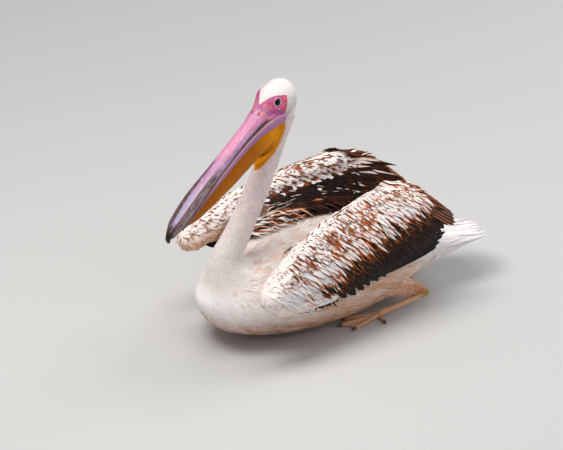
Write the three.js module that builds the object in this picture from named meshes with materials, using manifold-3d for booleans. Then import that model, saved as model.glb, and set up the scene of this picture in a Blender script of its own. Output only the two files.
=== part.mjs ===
// A great white pelican in its brown-flecked sub-adult plumage, life size, sitting on its belly with the wings
// arched over the back. Millimetres, +Z up, the floor at z = 0. The bird looks along -Y and its left side is +X.
// The origin is on the floor, under the middle of the belly.
import * as THREE from "three";
import { mergeVertices } from "three/addons/utils/BufferGeometryUtils.js";
import Module from "manifold-3d";

const wasm = await Module();
wasm.setup();

// ---- driving dimensions -------------------------------------------------------------------------------------
const GAP = 0.4; // clearance between two solids that meet
const HEAD_AT = [9, -109, 613]; // midway between the eyes
const HEAD_YAW = 16.7; // degrees, the bill turned to the bird's left
const HEAD_DIP = 31.1; // degrees, the bill below the level
const BILL_REACH = 436; // from midway between the eyes to the front of the nail
const EYE = { across: 24.5, ahead: 5.5, up: 4, radius: 9 };
const NECK_SPLITS = [306, 449]; // heights at which the neck is divided
const TAIL_FEATHERS = 7; // the feathers that show at the tail's edge
const SECONDARIES = 11;
const TERTIALS = 4;
const PRIMARIES = 4;
const TOE_LENGTHS = [84, 104, 88]; // inner, middle and outer toe
const TOE_SPREAD = [-20, 0, 20]; // degrees
const FOOT_AT = [98, 142];
const FOOT_TURN = -4; // degrees, the toes turned slightly in under the belly
const SIDES = { left: 1, right: -1 };
const HAND_LIFT = { left: 0, right: 26 }; // the right wing is held higher in front than the left

// Each row of a body table is a station: centre x, y, z, then half the width, the reach towards the back of the
// bird ("over") and the reach towards its breast ("under").
const TRUNK = [
  [0, 398, 112, 34, 12, 22],
  [0, 340, 116, 66, 34, 50],
  [0, 270, 119, 98, 68, 80],
  [0, 190, 120, 128, 100, 106],
  [0, 90, 118, 148, 120, 120],
  [0, 0, 116, 158, 122, 120],
  [0, -100, 114, 150, 106, 117],
  [0, -180, 113, 129, 86, 102],
  [0, -245, 117, 102, 68, 80],
  [0, -297, 126, 70, 47, 56],
];
const NECK = [
  [0, -150, 120, 84, 66, 80],
  [0, -208, 158, 76, 62, 74],
  [0, -228, 205, 48, 42, 50],
  [0, -206, 254, 36, 35, 37],
  [0, -178, 306, 32, 32, 32],
  [0, -148, 364, 31, 31, 30],
  [0, -109, 449, 29, 29, 29],
  [0, -86, 512, 30, 29, 29],
  [0, -70, 562, 32, 33, 33],
  [2, -82, 598, 26, 26, 28],
];
// The yellow skin of the throat, which runs down the front of the neck.
const THROAT = [
  [6, -114, 566, 27, 28, 30],
  [4, -118, 530, 31, 28, 36],
  [2, -124, 498, 29, 24, 30],
  [0, -134, 468, 22, 18, 20],
  [0, -146, 440, 8, 8, 8],
];

// The head and bill are drawn looking along -Y about the point midway between the eyes, then turned.
const SKULL = [
  [0, 66, -34, 18, 22, 26],
  [0, 46, -28, 38, 40, 48],
  [0, 16, -24, 44, 46, 54],
  [0, -10, -20, 41, 46, 46],
  [0, -36, -16, 32, 36, 36],
  [0, -60, -12, 24, 24, 27],
];
const MAXILLA = [
  [0, -28, -13, 27, 27, 10],
  [0, -61, -9, 23.5, 21, 6],
  [0, -100, -5, 21, 17, 4],
  [0, -154, -1, 20, 15, 4],
  [0, -234, 2.5, 22, 12, 4],
  [0, -318, 5, 25.5, 10, 4],
  [0, -382, 0, 24, 9, 4],
  [0, -411, -4.5, 17, 8, 4],
  [0, -430, -8, 9, 6, 4],
];
const NAIL = [
  [0, -396, 5, 7, 3, 5],
  [0, -417, 1, 8, 5, 8],
  [0, -430, -5, 7, 5, 7],
  [0, 2 - BILL_REACH, -14, 5, 4, 5],
  [0, 3 - BILL_REACH, -22, 2.5, 2, 2],
];
const RAMUS = [
  [37, -6, -40, 6, 8, 9],
  [34, -26, -31, 7, 11, 12],
  [28, -60, -23, 6, 11, 12],
  [23.5, -95, -17.5, 5.5, 10, 11],
  [20, -140, -13, 5, 9, 10],
  [20.5, -220, -7, 4.5, 7, 7.5],
  [22.5, -315, -2, 4, 5, 5],
  [19, -380, -6, 4, 4, 4],
  [-5, -420, -15, 5, 4, 3.5],
];
const POUCH = [
  [0, -25, -50, 33, 45, 30],
  [0, -80, -48, 27, 42, 43],
  [0, -145, -44, 21, 38, 44],
  [0, -208, -39, 19, 34, 40],
  [0, -280, -31, 17, 27, 33],
  [0, -324, -26, 15, 22, 28],
  [0, -356, -20, 13, 16, 20],
  [0, -384, -13, 12, 8, 9],
  [0, -416, -13, 7, 2, 3],
];

// The wing, for the left side. The ridge is the top of the forearm from wrist to elbow, the hem is where the
// flight feathers end on the flank and the seat is where the upper arm lies on the back.
const RIDGE = [
  [184, -238, 205],
  [168, -200, 240],
  [158, -130, 286],
  [140, -45, 320],
  [124, 45, 345],
  [108, 125, 358],
  [94, 190, 352],
];
const HEM = [
  [186, -150, 130],
  [188, -60, 124],
  [184, 50, 136],
  [172, 160, 162],
  [152, 262, 182],
  [112, 344, 206],
];
const SEAT = [
  [74, -112, 222],
  [70, -40, 236],
  [66, 40, 242],
  [62, 130, 232],
  [56, 220, 205],
];
const FOREARM = [
  [188, -240, 174, 34, 28, 32],
  [176, -200, 196, 37, 38, 40],
  [160, -130, 246, 34, 36, 37],
  [140, -45, 283, 31, 34, 34],
  [124, 45, 308, 29, 33, 31],
  [108, 125, 322, 26, 31, 28],
  [96, 186, 325, 18, 22, 20],
];
const HAND = [
  [188, -226, 166, 28, 25, 24],
  [188, -168, 158, 22, 24, 22],
  [186, -100, 150, 14, 18, 18],
  [182, -30, 142, 6, 10, 10],
];
const TERTIAL_ROOTS = [
  [118, 130, 338],
  [104, 160, 344],
  [84, 186, 332],
];
const TERTIAL_TIPS = [
  [126, 334, 196],
  [102, 346, 216],
  [84, 298, 264],
];
const PRIMARY_ROOTS = [
  [176, -120, 152],
  [172, -120, 122],
];
const PRIMARY_TIPS = [
  [112, 318, 190],
  [128, 276, 158],
];
const THIGH = [
  [100, 140, 92, 32, 36, 38],
  [108, 190, 72, 26, 28, 32],
  [114, 238, 56, 15, 17, 19],
  [116, 262, 46, 9, 10, 11],
];
const TARSUS = [
  [116, 272, 42, 10, 10, 11],
  [112, 232, 32, 8, 8, 8],
  [104, 180, 18, 7, 7, 7],
  [99, 138, 10, 9, 8, 10],
];
const WING_OUT = [0.93, -0.1, 0.36]; // the way the closed wing's outer face looks

// ---- shapes -------------------------------------------------------------------------------------------------
const vector = (p) => new THREE.Vector3(...p);
const curveOf = (points) => new THREE.CatmullRomCurve3(points.map(vector), false, "catmullrom", 0.5);
const BIRDS_RIGHT = new THREE.Vector3(-1, 0, 0);

// Moves every vertex of a three.js geometry to where place(x, y, z) says.
function reshaped(geometry, place) {
  const points = geometry.attributes.position;
  const to = new THREE.Vector3();
  for (let i = 0; i < points.count; i++) {
    place(points.getX(i), points.getY(i), points.getZ(i), to);
    points.setXYZ(i, to.x, to.y, to.z);
  }
  return geometry;
}

// A closed tube through a table of stations. start and end are the shares of its length that round off its ends.
function tube(stations, { rings = 16, sides = 16, start = 0.1, end = 0.1, grow = 0 } = {}) {
  const centre = curveOf(stations);
  const girth = curveOf(stations.map((s) => s.slice(3)));
  const rounding = (share) => Math.sqrt(Math.max(0, 1 - (1 - Math.min(1, share)) ** 2));
  return reshaped(new THREE.CylinderGeometry(1, 1, 1, sides, rings), (x, y, z, to) => {
    const t = (1 - Math.cos(Math.PI * (0.5 - y))) / 2;
    const along = centre.getTangent(t);
    const side = BIRDS_RIGHT.clone().addScaledVector(along, -BIRDS_RIGHT.dot(along)).normalize();
    const over = side.clone().cross(along);
    const reach = girth.getPoint(t);
    const close = Math.min(rounding((t + 0.004) / start), rounding((1.004 - t) / end));
    to.copy(centre.getPoint(t));
    to.addScaledVector(along, grow * Math.sign(t - 0.5) * (t === 0 || t === 1 ? 1 : 0));
    to.addScaledVector(side, -x * (reach.x * close + grow));
    to.addScaledVector(over, z * ((z > 0 ? reach.y : reach.z) * close + grow));
  });
}

// A curved plate: place(u, v) is its middle surface and thick(u, v) its thickness, with u and v from 0 to 1.
function plate(columns, rows, place, thick, grow = 0) {
  const step = 1e-3;
  const rim = (share) => grow * (share > 0.999 ? 1 : share < 0.001 ? -1 : 0);
  return reshaped(new THREE.BoxGeometry(1, 1, 1, columns, rows, 1), (x, y, z, to) => {
    const u = x + 0.5;
    const v = y + 0.5;
    const across = place(Math.min(1, u + step), v).sub(place(Math.max(0, u - step), v)).normalize();
    const down = place(u, Math.min(1, v + step)).sub(place(u, Math.max(0, v - step))).normalize();
    to.copy(place(u, v)).addScaledVector(across, rim(u)).addScaledVector(down, rim(v));
    to.addScaledVector(across.cross(down).normalize(), z * (thick(u, v) + 2 * grow));
  });
}

const between = (a, b, share) => a.clone().lerp(b, share);
const saw = (x) => Math.abs(x - Math.floor(x) - 0.5) * 2; // 1 at whole numbers, 0 half way between them

// A fan of feathers as one plate. roots and tips are curves, bow lifts its middle along out, and each feather
// ends in a point of its own, notch long, and steps up from the next.
function fan({ roots, tips, feathers, rows, out, bow, base, edge, notch, from = 0, grow = 0 }) {
  const lift = vector(out);
  const place = (u, v) => {
    const root = roots.getPoint(u);
    const tip = tips.getPoint(u);
    const length = root.distanceTo(tip);
    const share = from + v * (1 - from) * (1 - (notch / length) * saw(u * feathers) ** 2);
    const rise = bow * Math.sin(Math.PI * share) + 1.2 * v * saw(u * feathers + 0.5);
    return between(root, tip, share).addScaledVector(lift, rise);
  };
  return plate(feathers * 2, rows, place, (u, v) => base + (edge - base) * v, grow);
}

// ---- solids -------------------------------------------------------------------------------------------------
function turnedOver(geometry) {
  const index = geometry.index.array;
  for (let i = 0; i < index.length; i += 3) [index[i + 1], index[i + 2]] = [index[i + 2], index[i + 1]];
  return geometry;
}

function solid(geometry) {
  const bare = geometry.clone();
  bare.deleteAttribute("normal");
  bare.deleteAttribute("uv");
  const merged = mergeVertices(bare, 1e-3);
  const made = new wasm.Manifold(
    new wasm.Mesh({
      numProp: 3,
      vertProperties: merged.attributes.position.array,
      triVerts: new Uint32Array(merged.index.array),
    }),
  );
  return made.volume() < 0 ? solid(turnedOver(geometry)) : made;
}

// Only the largest body of a cut solid is kept, so that no crumb is left beside it.
function largest(shape) {
  return shape.decompose().sort((a, b) => b.volume() - a.volume())[0];
}

const joined = (...shapes) => shapes.reduce((all, next) => all.add(next));
const cut = (shape, ...tools) => largest(tools.reduce((left, tool) => left.subtract(tool), shape));

const root = new THREE.Group();

function addPart(name, shape, colour, roughness = 0.8) {
  const made = shape.getMesh();
  const geometry = new THREE.BufferGeometry();
  geometry.setAttribute("position", new THREE.BufferAttribute(made.vertProperties, 3));
  geometry.setIndex(new THREE.BufferAttribute(made.triVerts, 1));
  geometry.computeVertexNormals();
  const material = new THREE.MeshStandardMaterial({ color: colour, roughness, metalness: 0 });
  const part = new THREE.Mesh(geometry, material);
  part.name = name;
  root.add(part);
}

const COLOURS = {
  down: 0xf3e9e2,
  barred: 0xcdb4a2,
  flight: 0x241713,
  bill: 0xc9a0b8,
  nail: 0xc8552e,
  pouch: 0xe09a1c,
  eye: 0x1a0d0a,
  leg: 0xd8a04a,
};

// Everything above the floor, so that the belly, legs and feet stand on flats at one level.
const ROOM = solid(new THREE.BoxGeometry(2000, 2000, 1000).translate(0, 0, 500));
const stood = (shape) => shape.intersect(ROOM);

const radians = THREE.MathUtils.degToRad;
const headPlace = new THREE.Matrix4()
  .makeRotationFromEuler(new THREE.Euler(radians(HEAD_DIP), 0, radians(HEAD_YAW), "ZXY"))
  .setPosition(...HEAD_AT);
const onHead = (geometry) => geometry.applyMatrix4(headPlace);
const mirrored = (geometry) => turnedOver(geometry.scale(-1, 1, 1));
const onSide = (geometry, side) => (side > 0 ? geometry : mirrored(geometry));

function slabBetween(low, high) {
  return solid(new THREE.BoxGeometry(1000, 1500, high - low).translate(0, 0, (low + high) / 2));
}

// The trunk and the neck.
const trunkShape = (grow) => solid(tube(TRUNK, { rings: 18, sides: 16, start: 0.06, end: 0.14, grow }));
const neckShape = (grow) => solid(tube(NECK, { rings: 18, sides: 12, start: 0.04, end: 0.05, grow }));
const skullShape = (grow) => solid(onHead(tube(SKULL, { rings: 10, sides: 14, start: 0.3, end: 0.05, grow })));
const trunk = stood(trunkShape(0));
const aroundTrunk = trunkShape(GAP);
const aroundNeck = neckShape(GAP);
const skull = skullShape(0);
const aroundSkull = skullShape(GAP);

function addNeck() {
  const neck = cut(neckShape(0), aroundTrunk, aroundSkull);
  const levels = [0, ...NECK_SPLITS, 1000];
  ["neck_lower", "neck_middle", "neck_upper"].forEach((name, i) => {
    addPart(name, largest(neck.intersect(slabBetween(levels[i] + GAP, levels[i + 1]))), COLOURS.down);
  });
}

// The head: skull, eyes, the two halves of the bill, the nail at its tip and the pouch with the throat.
function addHead() {
  const eye = (side, grow) => {
    const ball = new THREE.SphereGeometry(EYE.radius + grow, 10, 7);
    return solid(onHead(ball.translate(side * EYE.across, -EYE.ahead, EYE.up)));
  };
  const headTube = (stations, options) => (grow) => solid(onHead(tube(stations, { ...options, grow })));
  const maxilla = headTube(MAXILLA, { rings: 12, sides: 10, start: 0.02, end: 0.06 });
  const nail = headTube(NAIL, { rings: 6, sides: 8, start: 0.3, end: 0.3 });
  const ramus = (side, grow) => {
    return solid(onHead(onSide(tube(RAMUS, { rings: 9, sides: 6, start: 0.08, end: 0.04, grow }), side)));
  };
  const rami = (grow) => joined(ramus(1, grow), ramus(-1, grow));
  const eyes = [eye(1, GAP), eye(-1, GAP)];
  addPart("head", cut(skull, ...eyes), COLOURS.down);
  for (const [name, side] of Object.entries(SIDES)) addPart(`eye_${name}`, eye(side, 0), COLOURS.eye, 0.1);
  addPart("bill_nail", nail(0), COLOURS.nail, 0.5);
  addPart("bill_upper", cut(maxilla(0), aroundSkull, nail(GAP), ...eyes), COLOURS.bill, 0.5);
  addPart("bill_lower", cut(rami(0), aroundSkull, maxilla(GAP), nail(GAP)), COLOURS.bill, 0.5);
  const bag = headTube(POUCH, { rings: 9, sides: 8, start: 0.12, end: 0.05 })(0);
  const throat = solid(tube(THROAT, { rings: 6, sides: 8, start: 0.2, end: 0.25 }));
  const hollow = [aroundSkull, aroundNeck, maxilla(GAP), rami(GAP), nail(GAP)];
  addPart("pouch", cut(joined(bag, throat), ...hollow), COLOURS.pouch, 0.55);
}

// A wing: the forearm with the coverts that clothe it, the folded hand, the flight feathers under them, and the
// feathered upper arm that lies on the back.
function addWing(name, side) {
  const lift = HAND_LIFT[name];
  const lifted = (stations) => stations.map(([x, y, z, ...rest]) => {
    return [x, y, z + lift * THREE.MathUtils.smoothstep(-y, 0, 120), ...rest];
  });
  const put = (geometry) => solid(onSide(geometry, side));
  const ridge = curveOf(RIDGE);
  const hem = curveOf(lifted(HEM));
  const covertLine = (u, v) => {
    const share = 0.04 + 0.62 * v;
    const rise = 30 * Math.sin(Math.PI * share) - 8;
    return between(ridge.getPoint(u), hem.getPoint(u), share).addScaledVector(vector(WING_OUT), rise);
  };
  const forearm = (grow) => {
    const flesh = put(tube(FOREARM, { rings: 9, sides: 10, start: 0.1, end: 0.12, grow }));
    return joined(flesh, put(plate(10, 4, covertLine, (u, v) => 20 - 13 * v, grow)));
  };
  const hand = (grow) => put(tube(lifted(HAND), { rings: 6, sides: 8, start: 0.2, end: 0.1, grow }));
  const secondaryFan = { roots: ridge, tips: hem, feathers: SECONDARIES, rows: 2, out: WING_OUT, bow: 26 };
  const secondaries = (grow) => {
    return put(fan({ ...secondaryFan, base: 7, edge: 3, notch: 14, from: 0.5, grow }).translate(-15, 0, -5));
  };
  const tertialFan = { roots: curveOf(TERTIAL_ROOTS), tips: curveOf(TERTIAL_TIPS), feathers: TERTIALS, rows: 3 };
  const tertials = (grow) => {
    return put(fan({ ...tertialFan, out: [0.4, 0.3, 0.85], bow: 16, base: 12, edge: 3, notch: 22, grow }));
  };
  const primaryFan = { roots: curveOf(lifted(PRIMARY_ROOTS)), tips: curveOf(PRIMARY_TIPS), feathers: PRIMARIES };
  const primaries = put(fan({ ...primaryFan, rows: 3, out: [1, 0, 0], bow: -6, base: 10, edge: 3, notch: 40 }));
  const seat = curveOf(SEAT);
  const armLine = (u, v) => between(ridge.getPoint(0.3 + 0.7 * u), seat.getPoint(u), v).add(vector([0, 0, 22 * v - 22]));
  const upperArm = put(plate(7, 3, armLine, (u, v) => 26 - 4 * v));
  const layers = [];
  const addLayer = (label, shape, around, colour) => {
    addPart(`wing_${name}_${label}`, cut(shape, ...layers, aroundTrunk), colour);
    if (around) layers.push(around);
  };
  addLayer("forearm", forearm(0), forearm(GAP), COLOURS.barred);
  addLayer("hand", hand(0), hand(GAP), COLOURS.barred);
  addLayer("tertials", tertials(0), tertials(GAP), COLOURS.flight);
  addLayer("secondaries", secondaries(0), secondaries(GAP), COLOURS.flight);
  addLayer("upper_arm", upperArm, null, COLOURS.barred);
  addLayer("primaries", primaries, null, COLOURS.flight);
}

function addTail() {
  const roots = curveOf([-42, 0, 42].map((x) => [x, 318, 130]));
  const tips = curveOf([-62, -30, 0, 30, 62].map((x) => [x, 487 - 0.0066 * x * x, 105 + 0.001 * x * x]));
  const vanes = fan({ roots, tips, feathers: TAIL_FEATHERS, rows: 3, out: [0, 0, 1], bow: 6, base: 16, edge: 3, notch: 12 });
  addPart("tail", cut(solid(vanes), aroundTrunk), COLOURS.down);
}

// A leg: the feathered thigh, the bare shank and the webbed foot tucked under the flank.
function toe(length, turn) {
  const bones = [
    [0, 6, 8, 7, 5, 8],
    [0, -length * 0.5, 6, 5, 4, 7],
    [0, -length, 5, 3.5, 3, 6],
    [0, -length - 10, 3, 1.5, 1.5, 4],
  ];
  return tube(bones, { rings: 3, sides: 5, start: 0.1, end: 0.15 }).rotateZ(radians(turn));
}

function footShape(side) {
  const [inner, , outer] = TOE_SPREAD;
  const web = plate(
    4,
    2,
    (u, v) => {
      const turn = radians(inner + (outer - inner) * u);
      const sag = 1 - 0.16 * (1 - saw(u * 2));
      const reach = v * sag * (TOE_LENGTHS[0] + (TOE_LENGTHS[1] - TOE_LENGTHS[0]) * Math.sin(Math.PI * u));
      return new THREE.Vector3(Math.sin(turn) * reach, -Math.cos(turn) * reach - 4, 4);
    },
    () => 4,
  );
  const toes = TOE_LENGTHS.map((length, i) => toe(length, TOE_SPREAD[i]));
  const pieces = [web, ...toes, toe(34, 82)].map((geometry) => {
    return solid(onSide(geometry.rotateZ(radians(FOOT_TURN)).translate(...FOOT_AT, 0), side));
  });
  return joined(...pieces);
}

function addLeg(name, side) {
  const put = (stations, options) => solid(onSide(tube(stations, options), side));
  const thigh = put(THIGH, { rings: 6, sides: 10, start: 0.1, end: 0.12 });
  const shank = (grow) => put(TARSUS, { rings: 6, sides: 8, start: 0.12, end: 0.08, grow });
  addPart(`leg_${name}_shank`, stood(cut(shank(0), aroundTrunk)), COLOURS.leg);
  addPart(`leg_${name}_thigh`, stood(cut(thigh, aroundTrunk, shank(GAP))), COLOURS.down);
  addPart(`leg_${name}_foot`, stood(cut(footShape(side), aroundTrunk, shank(GAP))), COLOURS.leg);
}

addPart("trunk", trunk, COLOURS.down);
addNeck();
addHead();
addTail();
for (const [name, side] of Object.entries(SIDES)) {
  addWing(name, side);
  addLeg(name, side);
}

export default root;
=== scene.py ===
import math

import bpy
import numpy as np
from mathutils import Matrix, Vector
from mathutils.bvhtree import BVHTree
from mathutils.kdtree import KDTree


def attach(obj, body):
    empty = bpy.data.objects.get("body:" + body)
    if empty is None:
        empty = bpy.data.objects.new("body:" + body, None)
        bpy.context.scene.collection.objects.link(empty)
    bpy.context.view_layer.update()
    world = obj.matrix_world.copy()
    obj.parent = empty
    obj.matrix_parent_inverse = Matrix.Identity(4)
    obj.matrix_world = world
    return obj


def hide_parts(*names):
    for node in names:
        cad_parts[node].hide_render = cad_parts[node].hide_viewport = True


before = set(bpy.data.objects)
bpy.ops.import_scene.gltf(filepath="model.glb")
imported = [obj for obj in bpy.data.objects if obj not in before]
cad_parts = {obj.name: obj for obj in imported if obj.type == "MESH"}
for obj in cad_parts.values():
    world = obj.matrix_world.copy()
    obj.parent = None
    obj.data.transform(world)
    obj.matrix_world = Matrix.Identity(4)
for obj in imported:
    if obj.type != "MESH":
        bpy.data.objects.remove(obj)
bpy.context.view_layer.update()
dice = np.random.default_rng(11)
mm = 0.001
fullTurn = 6.2832

# The body's measures, in millimetres. Each station is the centre's x, y and z, half the width, and the
# reach over and under the centre.
body = {
    "trunk": [
        [0, 398, 112, 34, 12, 22], [0, 340, 116, 66, 34, 50], [0, 270, 119, 98, 68, 80],
        [0, 190, 120, 128, 100, 106], [0, 90, 118, 148, 120, 120], [0, 0, 116, 158, 122, 120],
        [0, -100, 114, 150, 106, 117], [0, -180, 113, 129, 86, 102], [0, -245, 117, 102, 68, 80],
        [0, -297, 126, 70, 47, 56],
    ],
    "neck": [
        [0, -150, 120, 84, 66, 80], [0, -208, 158, 76, 62, 74], [0, -228, 205, 48, 42, 50],
        [0, -206, 254, 36, 35, 37], [0, -178, 306, 32, 32, 32], [0, -148, 364, 31, 31, 30],
        [0, -109, 449, 29, 29, 29], [0, -86, 512, 30, 29, 29], [0, -70, 562, 32, 33, 33],
        [2, -82, 598, 26, 26, 28],
    ],
    "throat": [
        [6, -114, 566, 27, 28, 30], [4, -118, 530, 31, 28, 36], [2, -124, 498, 29, 24, 30],
        [0, -134, 468, 22, 18, 20], [0, -146, 440, 8, 8, 8],
    ],
    "skull": [
        [0, 66, -34, 18, 22, 26], [0, 46, -28, 38, 40, 48], [0, 16, -24, 44, 46, 54],
        [0, -10, -20, 41, 46, 46], [0, -36, -16, 32, 36, 36], [0, -60, -12, 24, 24, 27],
    ],
    "maxilla": [
        [0, -28, -13, 27, 27, 10], [0, -61, -9, 23.5, 21, 6], [0, -100, -5, 21, 17, 4],
        [0, -154, -1, 20, 15, 4], [0, -234, 2.5, 22, 12, 4], [0, -318, 5, 25.5, 10, 4],
        [0, -382, 0, 24, 9, 4], [0, -411, -4.5, 17, 8, 4], [0, -430, -8, 9, 6, 4],
    ],
    "nail": [
        [0, -396, 5, 7, 3, 5], [0, -417, 1, 8, 5, 8], [0, -430, -5, 7, 5, 7],
        [0, -434, -14, 5, 4, 5], [0, -433, -22, 2.5, 2, 2],
    ],
    "ramus": [
        [37, -6, -40, 6, 8, 9], [34, -26, -31, 7, 11, 12], [28, -60, -23, 6, 11, 12],
        [23.5, -95, -17.5, 5.5, 10, 11], [20, -140, -13, 5, 9, 10], [20.5, -220, -7, 4.5, 7, 7.5],
        [22.5, -315, -2, 4, 5, 5], [19, -380, -6, 4, 4, 4], [-5, -420, -15, 5, 4, 3.5],
    ],
    "pouch": [
        [0, -25, -50, 33, 45, 30], [0, -80, -48, 27, 42, 43], [0, -145, -44, 21, 38, 44],
        [0, -208, -39, 19, 34, 40], [0, -280, -31, 17, 27, 33], [0, -324, -26, 15, 22, 28],
        [0, -356, -20, 13, 16, 20], [0, -384, -13, 12, 8, 9], [0, -416, -13, 7, 2, 3],
    ],
    "cheek": [  # the fold of face skin above the root of the lower bill
        [35, -2, -33, 6, 7, 7], [33, -20, -24, 7, 9, 9], [28, -38, -16, 7, 8, 8], [24, -54, -11, 4, 4, 4],
    ],
    "forearm": [
        [188, -240, 174, 34, 28, 32], [176, -200, 196, 37, 38, 40], [160, -130, 246, 34, 36, 37],
        [140, -45, 283, 31, 34, 34], [124, 45, 308, 29, 33, 31], [108, 125, 322, 26, 31, 28],
        [96, 186, 325, 18, 22, 20],
    ],
    "hand": [
        [188, -226, 166, 28, 25, 24], [188, -168, 158, 22, 24, 22], [186, -100, 150, 14, 18, 18],
        [182, -30, 142, 6, 10, 10],
    ],
    "thigh": [
        [100, 140, 92, 32, 36, 38], [108, 190, 72, 26, 28, 32], [114, 238, 56, 15, 17, 19],
        [116, 262, 46, 9, 10, 11],
    ],
    "tarsus": [
        [116, 272, 42, 10, 10, 11], [112, 232, 32, 8, 8, 8], [104, 180, 18, 7, 7, 7],
        [99, 138, 10, 9, 8, 10],
    ],
}
wing = {  # lines of the left wing: top of the forearm, ends of the flight feathers, seat on the back
    "ridge": [
        [184, -238, 205], [168, -200, 240], [158, -130, 286], [140, -45, 320], [124, 45, 345],
        [108, 125, 358], [94, 190, 352],
    ],
    "hem": [
        [186, -150, 130], [188, -60, 124], [184, 50, 136], [172, 160, 162], [152, 262, 182],
        [112, 344, 206],
    ],
    "seat": [[74, -112, 222], [70, -40, 236], [66, 40, 242], [62, 130, 232], [56, 220, 205]],
    "tertialRoots": [[118, 130, 338], [104, 160, 344], [84, 186, 332]],
    "tertialTips": [[126, 334, 196], [102, 346, 216], [84, 298, 264]],
    "primaryRoots": [[176, -120, 152], [172, -120, 122]],
    "primaryTips": [[112, 318, 190], [128, 276, 158]],
    "out": [0.93, -0.1, 0.36],  # the way the closed wing's outer face looks
    "rightLift": 26,  # the right wing is held higher in front
}
head = {
    "at": [9, -109, 613], "yaw": 16.7, "dip": 31.1,
    "eyeAcross": 24.5, "eyeAhead": 5.5, "eyeUp": 4, "eyeRadius": 8.8,
}
sides = {"left": 1, "right": -1}
rounding = {  # the shares of each tube's length that round off its two ends
    "trunk": (0.06, 0.14), "neck": (0.04, 0.05), "throat": (0.2, 0.25), "skull": (0.3, 0.05),
    "maxilla": (0.02, 0.06), "nail": (0.3, 0.3), "ramus": (0.08, 0.04), "pouch": (0.12, 0.05),
    "cheek": (0.3, 0.3),
    "forearm": (0.1, 0.12), "hand": (0.2, 0.1), "thigh": (0.1, 0.12), "tarsus": (0.12, 0.08),
}


def unit(v):
    return v / np.maximum(np.linalg.norm(v, axis=-1, keepdims=True), 1e-12)


def smooth(low, high, x):
    f = np.clip((x - low) / (high - low), 0, 1)
    return f * f * (3 - 2 * f)


def bump(x, middle, width):
    return np.exp(-((x - middle) / width) ** 2)


def spline(points, t):
    p = np.asarray(points, float)
    ends = np.vstack([2 * p[0] - p[1], p, 2 * p[-1] - p[-2]])
    s = np.clip(np.asarray(t, float), 0, 1) * (len(p) - 1)
    i = np.minimum(s.astype(int), len(p) - 2)
    f = (s - i)[..., None]
    a, b, c, d = ends[i], ends[i + 1], ends[i + 2], ends[i + 3]
    return b + 0.5 * f * (c - a + f * (2 * a - 5 * b + 4 * c - d + f * (3 * (b - c) + d - a)))


def loft(name, t, angle, inset=0.0, lift=0.0, girth=1.0):  # a point on a body tube, angle 0 is "over"
    table = np.array(body[name], float)
    start, end = rounding[name]
    t = np.asarray(t, float)
    table[:, 2] += lift * smooth(0, 120, -table[:, 1])
    centre = spline(table[:, :3], t)
    step = 1e-3
    along = unit(spline(table[:, :3], t + step) - spline(table[:, :3], t - step))
    side = np.array([-1.0, 0, 0]) + along * along[..., :1]
    side = unit(side)
    over = np.cross(side, along)
    reach = spline(table[:, 3:], t)

    def shut(share):
        return np.sqrt(np.maximum(0, 1 - (1 - np.minimum(1, share)) ** 2))

    close = np.minimum(shut((t + 0.004) / start), shut((1.004 - t) / end))
    x, z = np.sin(angle), np.cos(angle)
    high = np.where(z > 0, reach[..., 1], reach[..., 2])
    wide = np.maximum(reach[..., 0] * close - inset, 0.2) * x * girth
    tall = np.maximum(high * close - inset, 0.2) * z * girth
    return centre - side * wide[..., None] + over * tall[..., None]


def headTurn():
    yaw, dip = math.radians(head["yaw"]), math.radians(head["dip"])
    cy, sy, cd, sd = math.cos(yaw), math.sin(yaw), math.cos(dip), math.sin(dip)
    aside = np.array([[cy, -sy, 0], [sy, cy, 0], [0, 0, 1]])
    return aside @ np.array([[1, 0, 0], [0, cd, -sd], [0, sd, cd]])


turn = headTurn()


def fromHead(p):  # head-drawn millimetres to the bird's
    return p @ turn.T + np.array(head["at"])


def toHead(p):
    return (p - np.array(head["at"])) @ turn


def faceOf(p):  # how far left, ahead and above the eyes' middle, in centimetres
    q = toHead(p) / 10
    return q[..., 0], -q[..., 1], q[..., 2]


def flip(p, side):
    return p * np.array([side, 1, 1])


def lifted(points, side):
    p = np.array(points, float)
    if side < 0:
        p[:, 2] += wing["rightLift"] * smooth(0, 120, -p[:, 1])
    return p


def ripple(p, size, seed):  # a soft wandering pattern from -1 to 1, with waves about size long
    rolls = np.random.default_rng(seed)
    total = 0
    for _ in range(7):
        way = unit(rolls.normal(size=3)) * 2 * math.pi / (size * rolls.uniform(0.7, 1.5))
        total = total + np.sin(p @ way + rolls.uniform(0, 6.3))
    return total / 3.5


def linear(code):
    c = np.array([int(code[i:i + 2], 16) for i in (1, 3, 5)]) / 255
    return np.where(c <= 0.04045, c / 12.92, ((c + 0.055) / 1.055) ** 2.4)


def blend(a, b, share):
    share = np.asarray(share)[..., None]
    return a * (1 - share) + b * share


def clear():
    if bpy.context.object and bpy.context.object.mode != "OBJECT":
        bpy.ops.object.mode_set(mode="OBJECT")
    bpy.ops.object.select_all(action="DESELECT")


def pick(piece):
    clear()
    piece.select_set(True)
    bpy.context.view_layer.objects.active = piece


def corners(piece):
    co = np.empty(len(piece.data.vertices) * 3, np.float32)
    piece.data.vertices.foreach_get("co", co)
    return co.reshape(-1, 3).astype(float)


def moveCorners(piece, co):
    piece.data.vertices.foreach_set("co", np.ascontiguousarray(co, np.float32).ravel())
    piece.data.update()


def keep(piece, name, values, kind):
    field = {"FLOAT_COLOR": "color", "FLOAT_VECTOR": "vector", "FLOAT": "value"}[kind]
    attribute = piece.data.attributes.get(name) or piece.data.attributes.new(name, kind, "POINT")
    attribute.data.foreach_set(field, np.ascontiguousarray(values, np.float32).ravel())


def paint(piece, name, colours):
    keep(piece, name, np.concatenate([colours, np.ones((len(colours), 1))], 1), "FLOAT_COLOR")


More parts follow.
